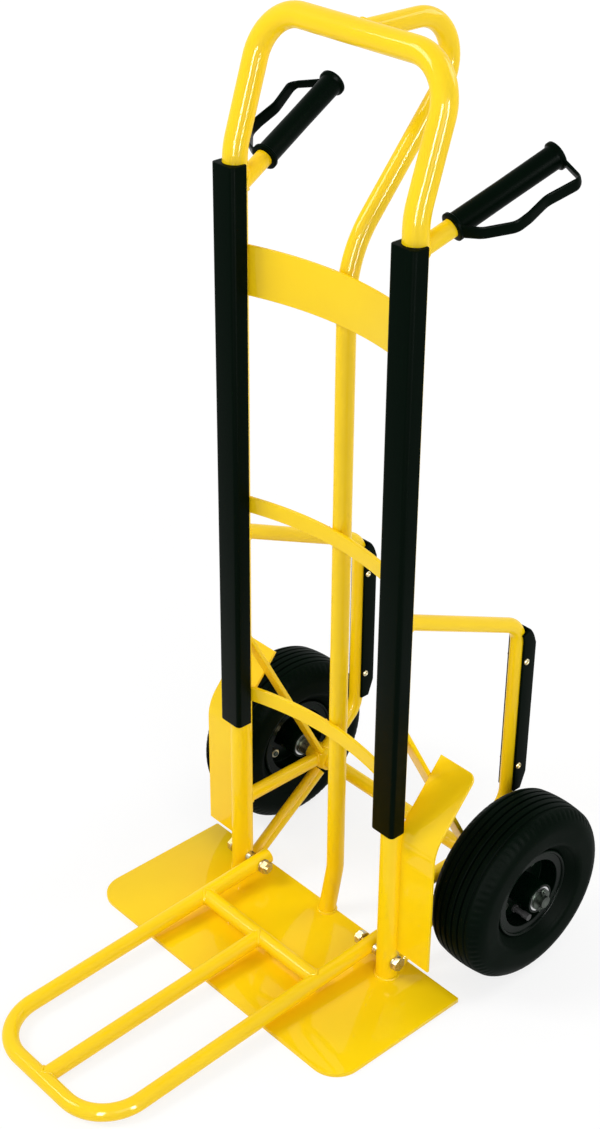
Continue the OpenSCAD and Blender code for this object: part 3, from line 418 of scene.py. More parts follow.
def seam_on_plane(start, way, r, z, n=56):
    """Where a tube of radius r meets a level face at height z."""
    way = unit(way)
    e = unit(np.cross(way, ref_for(way)))
    f = np.cross(way, e)
    t = np.arange(n) * 2 * np.pi / n
    q = start + r * (np.cos(t)[:, None] * e + np.sin(t)[:, None] * f)
    return q + ((z - q[:, 2]) / way[2])[:, None] * way


def upward(x, y, z, half):
    """Twenty points straight up through a place, as far below it as above it."""
    return vec(x, y, z) + np.linspace(-half, half, 20)[:, None] * UP


def bead(line, r, closed=True, seed=0, step=0.8, pitch=3.2, ripple=0.10, drift=0.04):
    """A weld bead: a round profile of radius r carried along the seam, swelling by the ripple
    times |sin| once in each pitch, with a slow wander along its length."""
    line = np.asarray(line, float)
    ends = np.concatenate([line, line[:1]]) if closed else line
    run = np.concatenate([[0], np.cumsum(np.linalg.norm(np.diff(ends, axis=0), axis=1))])
    total = run[-1]
    count = max(8, int(total / step))
    at = np.linspace(0, total, count + (0 if closed else 1), endpoint=not closed)
    pts = np.stack([np.interp(at, run, ends[:, i]) for i in range(3)], 1)
    dirs = unit(np.roll(pts, -1, 0) - np.roll(pts, 1, 0) if closed else np.gradient(pts, axis=0))
    wander = np.sin(at / total * 2 * np.pi * 3 + seed) + np.sin(at / total * 2 * np.pi * 5 + 2 * seed)
    ripples = max(2, round(total / pitch))
    swell = 1 + ripple * np.abs(np.sin(np.pi * ripples * at / total)) + drift * wander
    if not closed:
        swell = swell * np.sqrt(np.clip(np.minimum(at, total - at) / (2 * r), 0.02, 1))
    ref = unit(np.cross(dirs, unit(pts - pts.mean(0)) + 1e-6))
    n = unit(np.cross(ref, dirs))
    b = np.cross(dirs, n)
    c = circle(r, 12)[None] * swell[:, None, None]
    grid = pts[:, None] + c[..., :1] * n[:, None] + c[..., 1:] * b[:, None]
    return Sheet(grid, loop=closed, ends=not closed)


# Finishes

class Val:
    """A socket of a node tree that can be added and multiplied."""

    def __init__(self, tree, socket):
        self.tree, self.socket = tree, socket

    def join(self, operation, other):
        return self.tree.node("ShaderNodeMath", {"operation": operation}, {0: self, 1: other})

    def __add__(self, other):
        return self.join("ADD", other)

    def __mul__(self, other):
        return self.join("MULTIPLY", other)

    __radd__ = __add__
    __rmul__ = __mul__


class Finish:
    """A material whose nodes are made by one method and whose maths is written as Python."""

    def __init__(self, name):
        self.material = bpy.data.materials.new(name)
        self.material.use_nodes = True
        self.nodes = self.material.node_tree.nodes
        self.links = self.material.node_tree.links
        self.shader = self.nodes["Principled BSDF"]
        self.place = self.node("ShaderNodeTexCoord", {}, {}, "Object")

    def feed(self, socket, value):
        """Links a value to a socket, or sets the socket where the value is a constant."""
        if isinstance(value, Val):
            self.links.new(value.socket, socket)
        else:
            socket.default_value = value

    def node(self, kind, settings, sockets, output=0):
        made = self.nodes.new(kind)
        for key, value in settings.items():
            setattr(made, key, value)
        for key, value in sockets.items():
            self.feed(made.inputs[key], value)
        return Val(self, made.outputs[output])

    def noise(self, scale, detail=3.0, rough=0.5, at=None):
        return self.node("ShaderNodeTexNoise", {}, {"Vector": at or self.place, "Scale": scale,
                                                    "Detail": detail, "Roughness": rough})

    def cells(self, scale):
        return self.node("ShaderNodeTexVoronoi", {}, {"Vector": self.place, "Scale": scale}, "Distance")

    def band(self, value, low, high, to_low=0.0, to_high=1.0):
        return self.node("ShaderNodeMapRange", {}, {"Value": value, "From Min": low, "From Max": high,
                                                    "To Min": to_low, "To Max": to_high})

    def mix(self, factor, a, b):
        return self.node("ShaderNodeMix", {"data_type": "RGBA"}, {0: factor, 6: a, 7: b}, 2)

    def bump(self, height, distance, strength=1.0, below=None):
        sockets = {"Height": height, "Distance": distance, "Strength": strength}
        if below is not None:
            sockets["Normal"] = below
        return self.node("ShaderNodeBump", {}, sockets)

    def set(self, **sockets):
        for key, value in sockets.items():
            self.feed(self.shader.inputs[key.replace("_", " ")], value)
        return self.material


def rgb(colour, k=1.0):
    return (colour[0] * k, colour[1] * k, colour[2] * k, 1.0)


FINISHES = {}


def powder_coat(colour):
    """Bright powder coat: an even coloured film with a soft orange-peel skin, slightly deeper
    in tone in slow patches, under a clear gloss."""
    f = Finish("yellow_powder_coat")
    slow = f.noise(9.0, 2.0)
    peel = f.noise(420.0, 2.0, 0.6)
    deeper = rgb((colour[0] * 0.985, colour[1] * 0.955, colour[2]))
    tone = f.mix(f.band(slow, 0.35, 0.65), rgb(colour), deeper)
    speck = f.band(f.cells(160.0), 0.0, 0.05, 1.0, 0.0)
    return f.set(Base_Color=f.mix(speck * 0.12, tone, rgb((colour[0] * 0.8, colour[1] * 0.7, 0.01))),
                 Roughness=f.band(peel, 0.3, 0.7, 0.42, 0.5), Specular_IOR_Level=0.06,
                 Coat_Weight=0.42, Coat_Roughness=0.045,
                 Normal=f.bump(peel, 0.00006, 0.35, f.bump(slow, 0.0004, 0.2)))


def moulded_plastic(colour, name="black_moulding", rough=0.36):
    """Black moulded plastic: a fine spark-eroded grain, with faint scuffs along its length. The black it is
    given is tinted green, which paints a green sheen on its lit faces.
    """
    f = Finish(name)
    grain = f.noise(900.0, 3.0, 0.65)
    stretched = f.node("ShaderNodeMapping", {}, {"Vector": f.place, "Scale": (60.0, 60.0, 3.0)})
    scuff = f.band(f.noise(6.0, 4.0, 0.6, stretched), 0.58, 0.75)
    return f.set(Base_Color=f.mix(scuff * 0.4, rgb(colour), rgb(colour, 2.0)),
                 Roughness=f.band(grain, 0.3, 0.7, rough - 0.06, rough + 0.08) + scuff * 0.08,
                 Specular_IOR_Level=0.02, Normal=f.bump(grain, 0.00006, 0.5))


def tyre_rubber(colour):
    """Vulcanised rubber: mould texture of fine pores and slow dull patches. The black it is given is tinted
    green, which paints a green sheen on its lit crown and side walls.
    """
    f = Finish("tyre_rubber")
    pores, slow = f.noise(650.0, 4.0, 0.7), f.noise(14.0, 3.0)
    dust = f.band(f.noise(40.0, 5.0, 0.7), 0.5, 0.8)
    return f.set(Base_Color=f.mix(dust * 0.35, rgb(colour), rgb(colour, 2.2)),
                 Roughness=f.band(slow, 0.3, 0.7, 0.42, 0.58), Specular_IOR_Level=0.02,
                 Normal=f.bump(pores, 0.0001, 0.5, f.bump(slow, 0.0008, 0.15)))


def enamel(colour):
    """Dark dipped enamel on pressed steel: even, satin, a little uneven in gloss. The dark colour it is given
    is tinted green, which paints a green sheen on its lit lip.
    """
    f = Finish("dark_enamel")
    slow, skin = f.noise(30.0, 3.0), f.noise(500.0, 2.0)
    return f.set(Base_Color=f.mix(f.band(slow, 0.35, 0.7), rgb(colour), rgb(colour, 1.7)),
                 Roughness=f.band(slow, 0.3, 0.7, 0.2, 0.3), Specular_IOR_Level=0.06,
                 Normal=f.bump(skin, 0.00008, 0.4))


def zinc_plate(colour):
    """Yellow passivated zinc: bright metal with a rainbow-like drift from gold to grey."""
    f = Finish("passivated_zinc")
    drift, fine = f.noise(55.0, 3.0), f.noise(700.0, 3.0, 0.6)
    return f.set(Base_Color=f.mix(f.band(drift, 0.35, 0.65), rgb(colour), (0.48, 0.46, 0.34, 1)),
                 Metallic=1.0, Roughness=f.band(fine, 0.3, 0.7, 0.22, 0.38),
                 Normal=f.bump(fine, 0.00005, 0.4))


def dull_zinc():
    """Blackened zinc on the fasteners inside the wheels, oily and uneven."""
    f = Finish("blackened_zinc")
    drift, fine = f.noise(90.0, 3.0), f.noise(600.0, 3.0, 0.6)
    return f.set(Base_Color=f.mix(f.band(drift, 0.35, 0.65), (0.02, 0.025, 0.02, 1), (0.06, 0.075, 0.06, 1)),
                 Metallic=0.9, Roughness=f.band(fine, 0.3, 0.7, 0.3, 0.45), Normal=f.bump(fine, 0.00005, 0.4))


def turned_steel():
    """Bright turned steel with fine rings round the axle."""
    f = Finish("turned_steel")
    lines = f.node("ShaderNodeMapping", {}, {"Vector": f.place, "Scale": (900.0, 30.0, 30.0)})
    ring = f.noise(1.0, 2.0, 0.5, lines)
    return f.set(Base_Color=f.mix(ring, (0.52, 0.52, 0.53, 1), (0.68, 0.68, 0.68, 1)), Metallic=1.0,
                 Roughness=f.band(ring, 0.3, 0.7, 0.25, 0.4), Normal=f.bump(ring, 0.00005, 0.3))


def soft_rubber(name):
    """Matt butyl rubber with a dusting of talc."""
    f = Finish(name)
    talc = f.band(f.noise(80.0, 4.0, 0.7), 0.45, 0.75)
    return f.set(Base_Color=f.mix(talc * 0.3, (0.02, 0.02, 0.02, 1), (0.10, 0.10, 0.10, 1)),
                 Roughness=f.band(talc, 0.0, 1.0, 0.6, 0.8))


# Settings

def colour_setting(name, description, default):
    return bpy.props.FloatVectorProperty(name=name, description=description, default=default, size=3,
                                         min=0, max=1, subtype="COLOR")


class TruckSizes(bpy.types.PropertyGroup):
    bead_r: bpy.props.FloatProperty(name="Weld bead", description="Radius of the weld beads",
                                    default=0.0022, min=0.001, max=0.004, unit="LENGTH")
    rib_depth: bpy.props.FloatProperty(name="Tread depth", description="Depth of the tyres' grooves",
                                       default=0.004, min=0.001, max=0.006, unit="LENGTH")
    lugs: bpy.props.IntProperty(name="Shoulder cuts", description="Cuts round each tyre's shoulder",
                                default=72, min=12, max=160)


class TruckColours(bpy.types.PropertyGroup):
    paint: colour_setting("Paint", "Colour of the powder coat", (0.965, 0.66, 0.002))
    # The blacks of the guards, grips, tyres and rims are tinted green. This is a painted green sheen, which
    # their lit faces show as a dark green reflection.
    moulding: colour_setting("Mouldings", "Colour of guards and grips", (0.0002, 0.0030, 0.0011))
    tyre: colour_setting("Tyres", "Colour of the tyres' rubber", (0.0002, 0.0028, 0.0010))
    rim: colour_setting("Rims", "Colour of the rims' enamel", (0.0002, 0.0030, 0.0011))
    zinc: colour_setting("Fasteners", "Colour of the plated fasteners", (0.55, 0.43, 0.20))


# Pieces

class Step(bpy.types.Operator):
    """What the pieces' operators share."""
    bl_options = {"REGISTER", "UNDO"}

    def execute(self, context):
        self.make(context.scene.truck_sizes, context.scene.truck_colours)
        return {"FINISHED"}


class TRUCK_OT_finishes(Step):
    """Make the finishes and put them on every node of the frame"""
    bl_idname = "truck.finishes"
    bl_label = "Finishes"

    def make(self, sizes, colours):
        FINISHES.update(
            yellow_paint=powder_coat(colours.paint), black_plastic=moulded_plastic(colours.moulding),
            black_grip=moulded_plastic(colours.moulding, "black_grip", 0.30), tyre=tyre_rubber(colours.tyre),
            inner_tube_rubber=soft_rubber("inner_tube_rubber"), valve_rubber=soft_rubber("valve_rubber"),
            zinc=zinc_plate(colours.zinc), dull_zinc=dull_zinc(), dark_rim=enamel(colours.rim),
            bright_steel=turned_steel())
        slots = {s["node"]: s["material_slot"] for s in frame["record"]["subparts"]}
        for name, node in frame["nodes"].items():
            node.data.materials.clear()
            dull = name in ("axle_washers", "split_pins", "axle")
            node.data.materials.append(FINISHES["dull_zinc" if dull else slots[name]])


class TRUCK_OT_main_tubes(Step):
    """Make the main frame tube and the centre tube with the rear handle"""
    bl_idname = "truck.main_tubes"
    bl_label = "Main tubes"

    def make(self, sizes, colours):
        bends = [LEAN_BEND, TOP_BEND, TOP_BEND, LEAN_BEND]
        painted("frame_tube", [tube(MAIN_PATH, bends, *MAIN_TUBE, BACK, 56)], "main_frame_tube")
        path = [vec(0, TOP_Y + CENTRE_START, TOP_Z), vec(0, NOSE_Y, TOP_Z), vec(0, CENTRE_Y, KINK_Z),
                vec(0, CENTRE_Y, FOOT_Z), vec(0, CENTRE_Y - FOOT_STEP, PLATE_T)]
        painted("centre_column", [tube(path, CENTRE_BENDS, *CENTRE_TUBE, ACROSS, 48)], "centre_tube")


class TRUCK_OT_struts(Step):
    """Make the axle struts, base struts, bosses, the tube over the axle and the handle tubes"""
    bl_idname = "truck.struts"
    bl_label = "Struts and bosses"

    def make(self, sizes, colours):
        ends = [vec(x, AXLE_Y, AXLE_Z) for x in (-COVER_HALF, COVER_HALF)]
        painted("axle_cover", [tube(ends, [], *COVER_TUBE, UP, 48)], "axle_tube")
        for name, side in SIDES:
            x = side * UP_X
            path = [vec(x, AXLE_STRUT_Y, AXLE_Z), vec(x, AXLE_Y - AXLE_STRUT_STOP, AXLE_Z)]
            painted(f"{name}_axle_strut_tube", [tube(path, [], *STRUT_TUBE, ACROSS)], f"{name}_axle_strut")
            path = [vec(x, BASE_Y, PLATE_T), vec(x, AXLE_Y - BASE_STOP_Y, AXLE_Z - BASE_STOP_Z)]
            strut = cut_level(tube(path, [], *STRUT_TUBE, ACROSS), unit(path[1] - path[0]), PLATE_T / 2)
            painted(f"{name}_base_strut_tube", [strut], f"{name}_base_strut")
            boss = [(-BOSS_HALF, BOSS_BORE_R), (BOSS_HALF, BOSS_BORE_R), (BOSS_HALF, BOSS_R),
                    (-BOSS_HALF, BOSS_R)]
            painted(f"{name}_boss", [lathe(boss, vec(x, AXLE_Y, AXLE_Z), ACROSS, UP, 72, 1.2)],
                    f"{name}_axle_boss")
            start, way, _ = handle_axes(side)
            path = [start + HANDLE_FROM * way, start + HANDLE_TO * way]
            painted(f"{name}_handle", [tube(path, [], *HANDLE_TUBE, UP)], f"{name}_handle_tube")


def handle_axes(side):
    """A handle's start, its direction, and the direction from it to the knuckle guard."""
    way = vec(side * math.cos(RISE) * math.sin(SPLAY), math.cos(RISE) * math.cos(SPLAY), math.sin(RISE))
    out = vec(side * math.cos(SPLAY), -math.sin(SPLAY), 0)
    return vec(side * HANDLE_X, 0, HANDLE_Z), way, out


class TRUCK_OT_grips(Step):
    """Make the grips with their flanges and knuckle guards"""
    bl_idname = "truck.grips"
    bl_label = "Grips"

    def make(self, sizes, colours):
        far = FLANGE[::-1] * (-1, 1) + (GRIP_LEN, 0)
        outline = np.concatenate([GRIP_NEAR, FLANGE, [GRIP_WAIST], far, GRIP_FAR])
        for name, side in SIDES:
            start, way, out = handle_axes(side)
            base = start + GRIP_FROM * way
            grip = Sheet(np.swapaxes(turned(outline, base, way, out, 64), 0, 1))
            dressed(f"{name}_hand_grip", [grip, knuckle_band(side, base, way, out)],
                    "frame", "black_grip", f"{name}_grip")


def knuckle_band(side, base, way, out):
    """A flat band carried along a bent path beside the grip, whose width changes on the way:
    p = c + x n + y a, with a the fixed direction across the band and n square to the path."""
    down = np.cross(out, way) * side
    lean = math.cos(BAND_DROOP) * out - math.sin(BAND_DROOP) * down
    corners = [base + a * way + b * lean for a, b in BAND_SPOTS]
    pts, dirs = bent(corners, BAND_BENDS, 2.5)
    across = unit(np.cross(way, lean))
    width = np.interp(np.linspace(0, 1, len(pts)), BAND_RUN, BAND_WIDTH)
    size = np.stack([np.full(len(pts), BAND_T), width], 1)
    section = soft_box(1, 1, BAND_CORNER)[None] * size[:, None]
    normal = unit(np.cross(across, dirs))
    grid = pts[:, None] + section[..., :1] * normal[:, None] + section[..., 1:] * across
    return Sheet(grid, ends=True)


def plate_outline(n=12):
    """The toe plate's outline: square at the rear, quarter circles at the front's corners."""
    a = np.linspace(0, np.pi / 2, n)
    x, y, r = PLATE_HALF - PLATE_CORNER, PLATE_FRONT - PLATE_CORNER, PLATE_CORNER
    left = np.stack([-x - r * np.cos(a), -y - r * np.sin(a)], 1)
    right = np.stack([x + r * np.sin(a), -y - r * np.cos(a)], 1)
    rear = np.array([(PLATE_HALF, PLATE_REAR - REAR_CUT), (PLATE_HALF - REAR_CUT, PLATE_REAR)])
    return np.concatenate([left, right, rear, rear[::-1] * (-1, 1)])


class TRUCK_OT_plates(Step):
    """Make the toe plate, the straps, the braces and the mudguards"""
    bl_idname = "truck.plates"
    bl_label = "Plates and straps"

    def make(self, sizes, colours):
        ring = plate_outline()
        out = np.sign(ring - ring.mean(0))
        rims = list(RIM) + [(inset, PLATE_T - z) for inset, z in RIM[::-1]]
        rings = [np.concatenate([ring - out * inset, np.full((len(ring), 1), z)], 1) for inset, z in rims]
        painted("load_plate", [Sheet(np.stack(rings), ends=True)], "toe_plate", sharp=50)
        for name, (z, height, thick) in STRAPS.items():
            painted(f"{name}_bar", [bowed(z, height, thick)], name)
        for name, side in SIDES:
            x = side * UP_X
            start, end = vec(x, 0, BRACE_Z), vec(x, AXLE_Y - BRACE_STOP_Y, AXLE_Z + BRACE_STOP_Z)
            way = unit(end - start)
            path = [start + BRACE_START * way, end - BRACE_END * way]
            painted(f"{name}_brace_bar", [bar(path, [], soft_box(BRACE_W, BRACE_T, 1.0), ACROSS)],
                    f"{name}_upper_brace")
            painted(f"{name}_guard_plate", [mudguard(side)], f"{name}_mudguard", sharp=40)


def bowed(z, height, thick):
    """A flat bar along an arc between the uprights: its back face lies on the circle through
    the bar's two ends and its middle."""
    rise = STRAP_MID - STRAP_END
    r = (STRAP_HALF ** 2 + rise ** 2) / (2 * rise)
    top = math.asin((STRAP_HALF + STRAP_OVER) / r)
    a = np.linspace(-top, top, 49)
    mid = r - thick / 2
    pts = np.stack([mid * np.sin(a), STRAP_MID - r + mid * np.cos(a), np.full_like(a, z)], 1)
    dirs = np.stack([np.cos(a), -np.sin(a), np.zeros_like(a)], 1)
    return Sheet(carried(soft_box(height, thick, 0.9), pts, dirs, UP), ends=True)


def mudguard(side):
    """A flat plate that bends back: the height along it is one parameter, the place across it
    the other, and its outer edge draws in along a quarter circle at the top."""
    top = vec(0, MUD_Y + MUD_LEN * math.sin(MUD_TILT), MUD_BEND_Z + MUD_LEN * math.cos(MUD_TILT))
    pts, dirs = bent([vec(0, MUD_Y, MUD_LOW_Z), vec(0, MUD_Y, MUD_BEND_Z), top], [MUD_BEND], 3.0)
    a = np.linspace(0, np.pi / 2, 9)[1:]
    tail = pts[-1] - dirs[-1] * MUD_CORNER * (1 - np.sin(a))[:, None]
    pts = np.concatenate([pts[:-1], (pts[-1] - MUD_CORNER * dirs[-1])[None], tail])
    dirs = np.concatenate([dirs[:-1], np.repeat(dirs[-1:], len(a) + 1, 0)])
    cut = np.concatenate([np.zeros(len(pts) - len(a)), MUD_CORNER * (1 - np.cos(a))])
    normal = np.cross(np.broadcast_to(ACROSS, dirs.shape), dirs)
    t, e = MUD_HALF_T, 0.5
    ring = np.array([-t + e, -t, -t, -t + e, t - e, t, t, t - e])
    base = np.array([0, 0, 1, 1, 1, 1, 0, 0.0])
    off = np.array([0, e, -e, 0, 0, -e, e, 0])
    x = UP_X + MUD_IN + base * (MUD_OUT - MUD_IN - cut)[:, None] + off
    grid = pts[:, None] + (side * x)[..., None] * ACROSS + ring[None, :, None] * normal[:, None]
    return Sheet(grid, ends=True)


class TRUCK_OT_guards(Step):
    """Make the load guards and the skid tubes with their strips"""
    bl_idname = "truck.guards"
    bl_label = "Guards and skids"

    def make(self, sizes, colours):
        rivets = []
        for name, side in SIDES:
            dressed(f"{name}_guard_moulding", [guard(side, GUARD_LOW[name])],
                    "frame", "black_plastic", f"{name}_load_guard")
            dressed(f"{name}_skid_moulding", [skid_strip(side)],
                    "frame", "black_plastic", f"{name}_skid_strip", sharp=40)
            x, run = side * UP_X, SKID_Y - AXLE_Y
            path = [vec(x, SKID_START, SKID_TOP_Z - SKID_START * SKID_FALL / SKID_Y),
                    vec(x, SKID_Y, SKID_TOP_Z - SKID_FALL), vec(x, SKID_Y, AXLE_Z + SKID_RISE),
                    vec(x, AXLE_Y + SKID_STOP, AXLE_Z + SKID_STOP * SKID_RISE / run)]
            painted(f"{name}_skid", [tube(path, SKID_BENDS, *SKID_TUBE, ACROSS)], f"{name}_skid_tube")
            rivets += [rivet(vec(x + a * STRIP_HALF, RIVET_Y, z), a * ACROSS)
                       for a in (-1, 1) for z in RIVET_ZS]
        dressed("rivet_heads", rivets, "frame", "zinc", "skid_rivets", sharp=45)


def skid_strip(side):
    """A channel behind the skid tube, carried round the last part of its bend and down it.
    Its back stands off the tube's centre and draws in towards both ends."""
    r = SKID_BENDS[0]
    a = np.linspace(STRIP_TURN, 0, 13)
    z = np.linspace(STRIP_TOP_Z, STRIP_LOW_Z, 60)[1:]
    pts = np.concatenate([np.stack([SKID_Y - r + r * np.cos(a), STRIP_TOP_Z + r * np.sin(a)], 1),
                          np.stack([np.full_like(z, SKID_Y), z], 1)])
    dirs = np.concatenate([np.stack([np.sin(a), -np.cos(a)], 1), np.tile([0.0, -1.0], (len(z), 1))])
    run = np.concatenate([[0], np.cumsum(np.linalg.norm(np.diff(pts, axis=0), axis=1))])
    tail = np.clip(STRIP_TAIL - (run[-1] - run), 0, None)
    back = np.minimum(STRIP_THIN + run * STRIP_SWELL, STRIP_BACK) - tail * STRIP_TAPER
    lip, half, clip = STRIP_LIP, STRIP_HALF, STRIP_CLIP
    ring = np.stack([eased([(lip, -half), (-b, -half), (-b, half), (lip, half), (lip, clip), (-clip, clip),
                            (-clip, -clip), (lip, -clip)], 1.6, 4) for b in back])
    pts = np.insert(pts, 0, side * UP_X, axis=1)
    dirs = np.insert(dirs, 0, 0, axis=1)
    inward = np.stack([np.zeros(len(dirs)), dirs[:, 2], -dirs[:, 1]], 1)
    grid = pts[:, None] + ring[..., :1] * inward[:, None] + ring[..., 1:] * ACROSS
    return Sheet(grid, ends=True)


def rivet(centre, axis):
    """A hollow rivet: a rounded ring of a head with a hole in its middle."""
    return Sheet(np.swapaxes(turned(RIVET_HEAD, centre, axis, UP, 32), 0, 1))


def guard(side, low):
    """A channel carried straight up: round inside, where it clips on the upright, with eased
    outer corners, its two end rings drawn in."""
    half, front, corner = GUARD_HALF, GUARD_FRONT, GUARD_CORNER
    a = np.linspace(0, np.pi / 2, 9)
    right = np.stack([half - corner + corner * np.sin(a), corner - front - corner * np.cos(a)], 1)
    left = np.stack([-half + corner - corner * np.cos(a), corner - front - corner * np.sin(a)], 1)
    b = np.linspace(math.pi * CLIP_PAST, -math.pi * (1 + CLIP_PAST), 41)
    bore = CLIP_R * np.stack([np.cos(b), np.sin(b)], 1)
    rear = np.array([(half, GUARD_SIDE_Y), (half - GUARD_REAR_IN, GUARD_REAR_Y)])
    outline = np.concatenate([left, right, rear, bore, rear[::-1] * (-1, 1)])
    rims = GUARD_RIM + [(GUARD_LEN - h, inset) for h, inset in GUARD_RIM[::-1]]
    away = outline * np.array([1 / half, 1 / front])
    outer = (np.linalg.norm(outline, axis=1) > CLIP_R + 0.55)[:, None]
    grid = [np.concatenate([outline - outer * away * inset + vec(side * UP_X, 0),
                            np.full((len(outline), 1), low + h)], 1) for h, inset in rims]
    return Sheet(np.stack(grid), ends=True)


class TRUCK_OT_extension(Step):
    """Make the tubes of the fold-out toe extension"""
    bl_idname = "truck.extension"
    bl_label = "Toe extension"

    def make(self, sizes, colours):
        ahead = vec(0, -math.cos(EXT_SLOPE), -math.sin(EXT_SLOPE))

        def at(x, along):
            return vec(x, 0, EXT_Z) + along * ahead

        body = "toe_extension"
        path = [at(-EXT_HALF, -EXT_TAIL), at(-EXT_HALF, EXT_LEN), at(EXT_HALF, EXT_LEN),
                at(EXT_HALF, -EXT_TAIL)]
        loop = tube(path, [EXT_BEND, EXT_BEND], *LOOP_TUBE, UP, 44)
        middle = tube([at(0, CROSS_AT), at(0, EXT_LEN)], [], *CROSS_TUBE, UP)
        cross = tube([at(1 - EXT_HALF, CROSS_AT), at(EXT_HALF - 1, CROSS_AT)], [], *CROSS_TUBE, UP)
        painted("extension_loop", [loop], "extension_frame_tube", body=body)
        painted("extension_middle", [middle], "extension_centre_bar", body=body)
        painted("extension_cross", [cross], "extension_cross_bar", body=body)
        seams = [(seam_on_tube(at(0, CROSS_AT), side * ACROSS, LOOP_R, at(side * EXT_HALF, CROSS_AT), ahead,
                               LOOP_R), side) for side in (-1, 1)]
        seams += [(seam_on_tube(at(0, EXT_SEAM), way * ahead, LOOP_R, at(0, along), ACROSS, LOOP_R), along)
                  for way, along in ((1, EXT_LEN), (-1, CROSS_AT))]
        beads = [bead(seam, EXT_BEAD_R, seed=seed) for seam, seed in seams]
        for sheet in beads:
            sheet.grid[..., 2] = np.maximum(sheet.grid[..., 2], FLOOR_GAP)
        painted("extension_welds", beads, body=body)


class TRUCK_OT_welds(Step):
    """Make the weld beads of the main frame"""
    bl_idname = "truck.welds"
    bl_label = "Weld beads"

    def make(self, sizes, colours):
        r = sizes.bead_r * 1000
        slant = vec(0, -FOOT_STEP, PLATE_T - FOOT_Z)
        foot = seam_on_plane(vec(0, CENTRE_Y, FOOT_Z), slant, CENTRE_R, PLATE_T)
        nose = seam_on_tube(vec(0, NOSE_Y, TOP_Z), -BACK, CENTRE_R, vec(0, TOP_Y, TOP_Z), ACROSS, MAIN_R)
        beads = [bead(foot, r), bead(nose, r)]
        for side in (-1, 1):
            beads += side_beads(side, r)
        for z, height, _ in STRAPS.values():
            for x in (-STRAP_WELD_X, STRAP_WELD_X):
                line = upward(x, STRAP_WELD_Y, z, height / 2 - 1)
                beads.append(bead(line, STRAP_BEAD_R, closed=False, seed=z + x))
        painted("frame_welds", beads)


def side_beads(side, r):
    """The beads of one side: round the ends of its tubes, up the straps' ends and in three
    short runs down the mudguard. Each seam starts from a place on its tube's axis."""
    x = side * UP_X
    beads = [bead(seam_on_plane(vec(x, 0, FOOT_SEAM_Z), -UP, MAIN_R, PLATE_T), r, seed=side)]
    upright, boss = (vec(x, 0, 0), UP, MAIN_R), (vec(x, AXLE_Y, AXLE_Z), ACROSS, BOSS_R)
    handle, along_handle, _ = handle_axes(side)
    base = unit(vec(0, AXLE_Y - BASE_Y, AXLE_Z - BASE_AIM_Z - PLATE_T))
    skid = unit(vec(0, SKID_Y - AXLE_Y, SKID_RISE))
    slope = vec(0, -SKID_Y, SKID_FALL)
    for start, way, thin, (at, along, big) in (
            (vec(x, AXLE_SEAM_Y, AXLE_Z), -BACK, STRUT_R, upright),
            (vec(x, AXLE_SEAM_Y, AXLE_Z), BACK, STRUT_R, boss),
            (vec(x, BASE_SEAM_Y, PLATE_T + (BASE_SEAM_Y - BASE_Y) * base[2] / base[1]), base, STRUT_R, boss),
            (vec(x, SKID_Y, AXLE_Z + SKID_RISE), -skid, STRUT_R, boss),
            (vec(x, SKID_SEAM_Y, SKID_TOP_Z - SKID_SEAM_Y * SKID_FALL / SKID_Y), slope, STRUT_R, upright),
            (handle + HANDLE_SEAM * along_handle, -along_handle, HANDLE_R, upright)):
        seam = seam_on_tube(start, way, thin, at, along, big)
        beads.append(bead(seam, min(r, THIN_BEAD_R), seed=x + start[1]))
    start = vec(x, BASE_Y, PLATE_T) + BASE_SEAM * base
    beads.append(bead(seam_on_plane(start, -base, STRUT_R, PLATE_T), THIN_BEAD_R))
    for z, height, _ in STRAPS.values():
        for y in STRAP_WELD_YS:
            line = upward(side * (STRAP_HALF + STRAP_WELD_OUT), y, z, height / 2 - 1)
            beads.append(bead(line, END_BEAD_R, closed=False, seed=z + y))
    for z in MUD_WELD_ZS:
        line = upward(side * (UP_X + MUD_WELD_OUT), MUD_WELD_Y, z, MUD_WELD_HALF)
        beads.append(bead(line, END_BEAD_R, closed=False, seed=z))
    return beads


def tyre_outline(depth, n=100):
    """The tyre's outside from tread to bead as (along the axle, radius): the lower of a crown
    arc and a flat tread with round shoulders, less the grooves, then the side wall's points."""
    a = np.linspace(math.pi / 2, 0, n)
    x, y = TREAD_HALF + SHOULDER_R * np.cos(a), TYRE_R - SHOULDER_R + SHOULDER_R * np.sin(a)
    flat = np.linspace(0, TREAD_HALF, n // 2)[:-1]
    x, y = np.concatenate([flat, x]), np.concatenate([np.full_like(flat, TYRE_R), y])
    y = np.minimum(y, TYRE_R - CROWN_R + np.sqrt(CROWN_R ** 2 - x ** 2))
    groove = np.zeros_like(x)
    for g in GROOVES:
        groove = np.maximum(groove, np.clip(GROOVE_HALF - np.abs(x - g), 0, GROOVE_SLOPE) / GROOVE_SLOPE)
    y = y - groove * np.minimum(depth, y - TYRE_R + depth)
    return np.concatenate([np.stack([x, y], 1), SIDE_WALL])


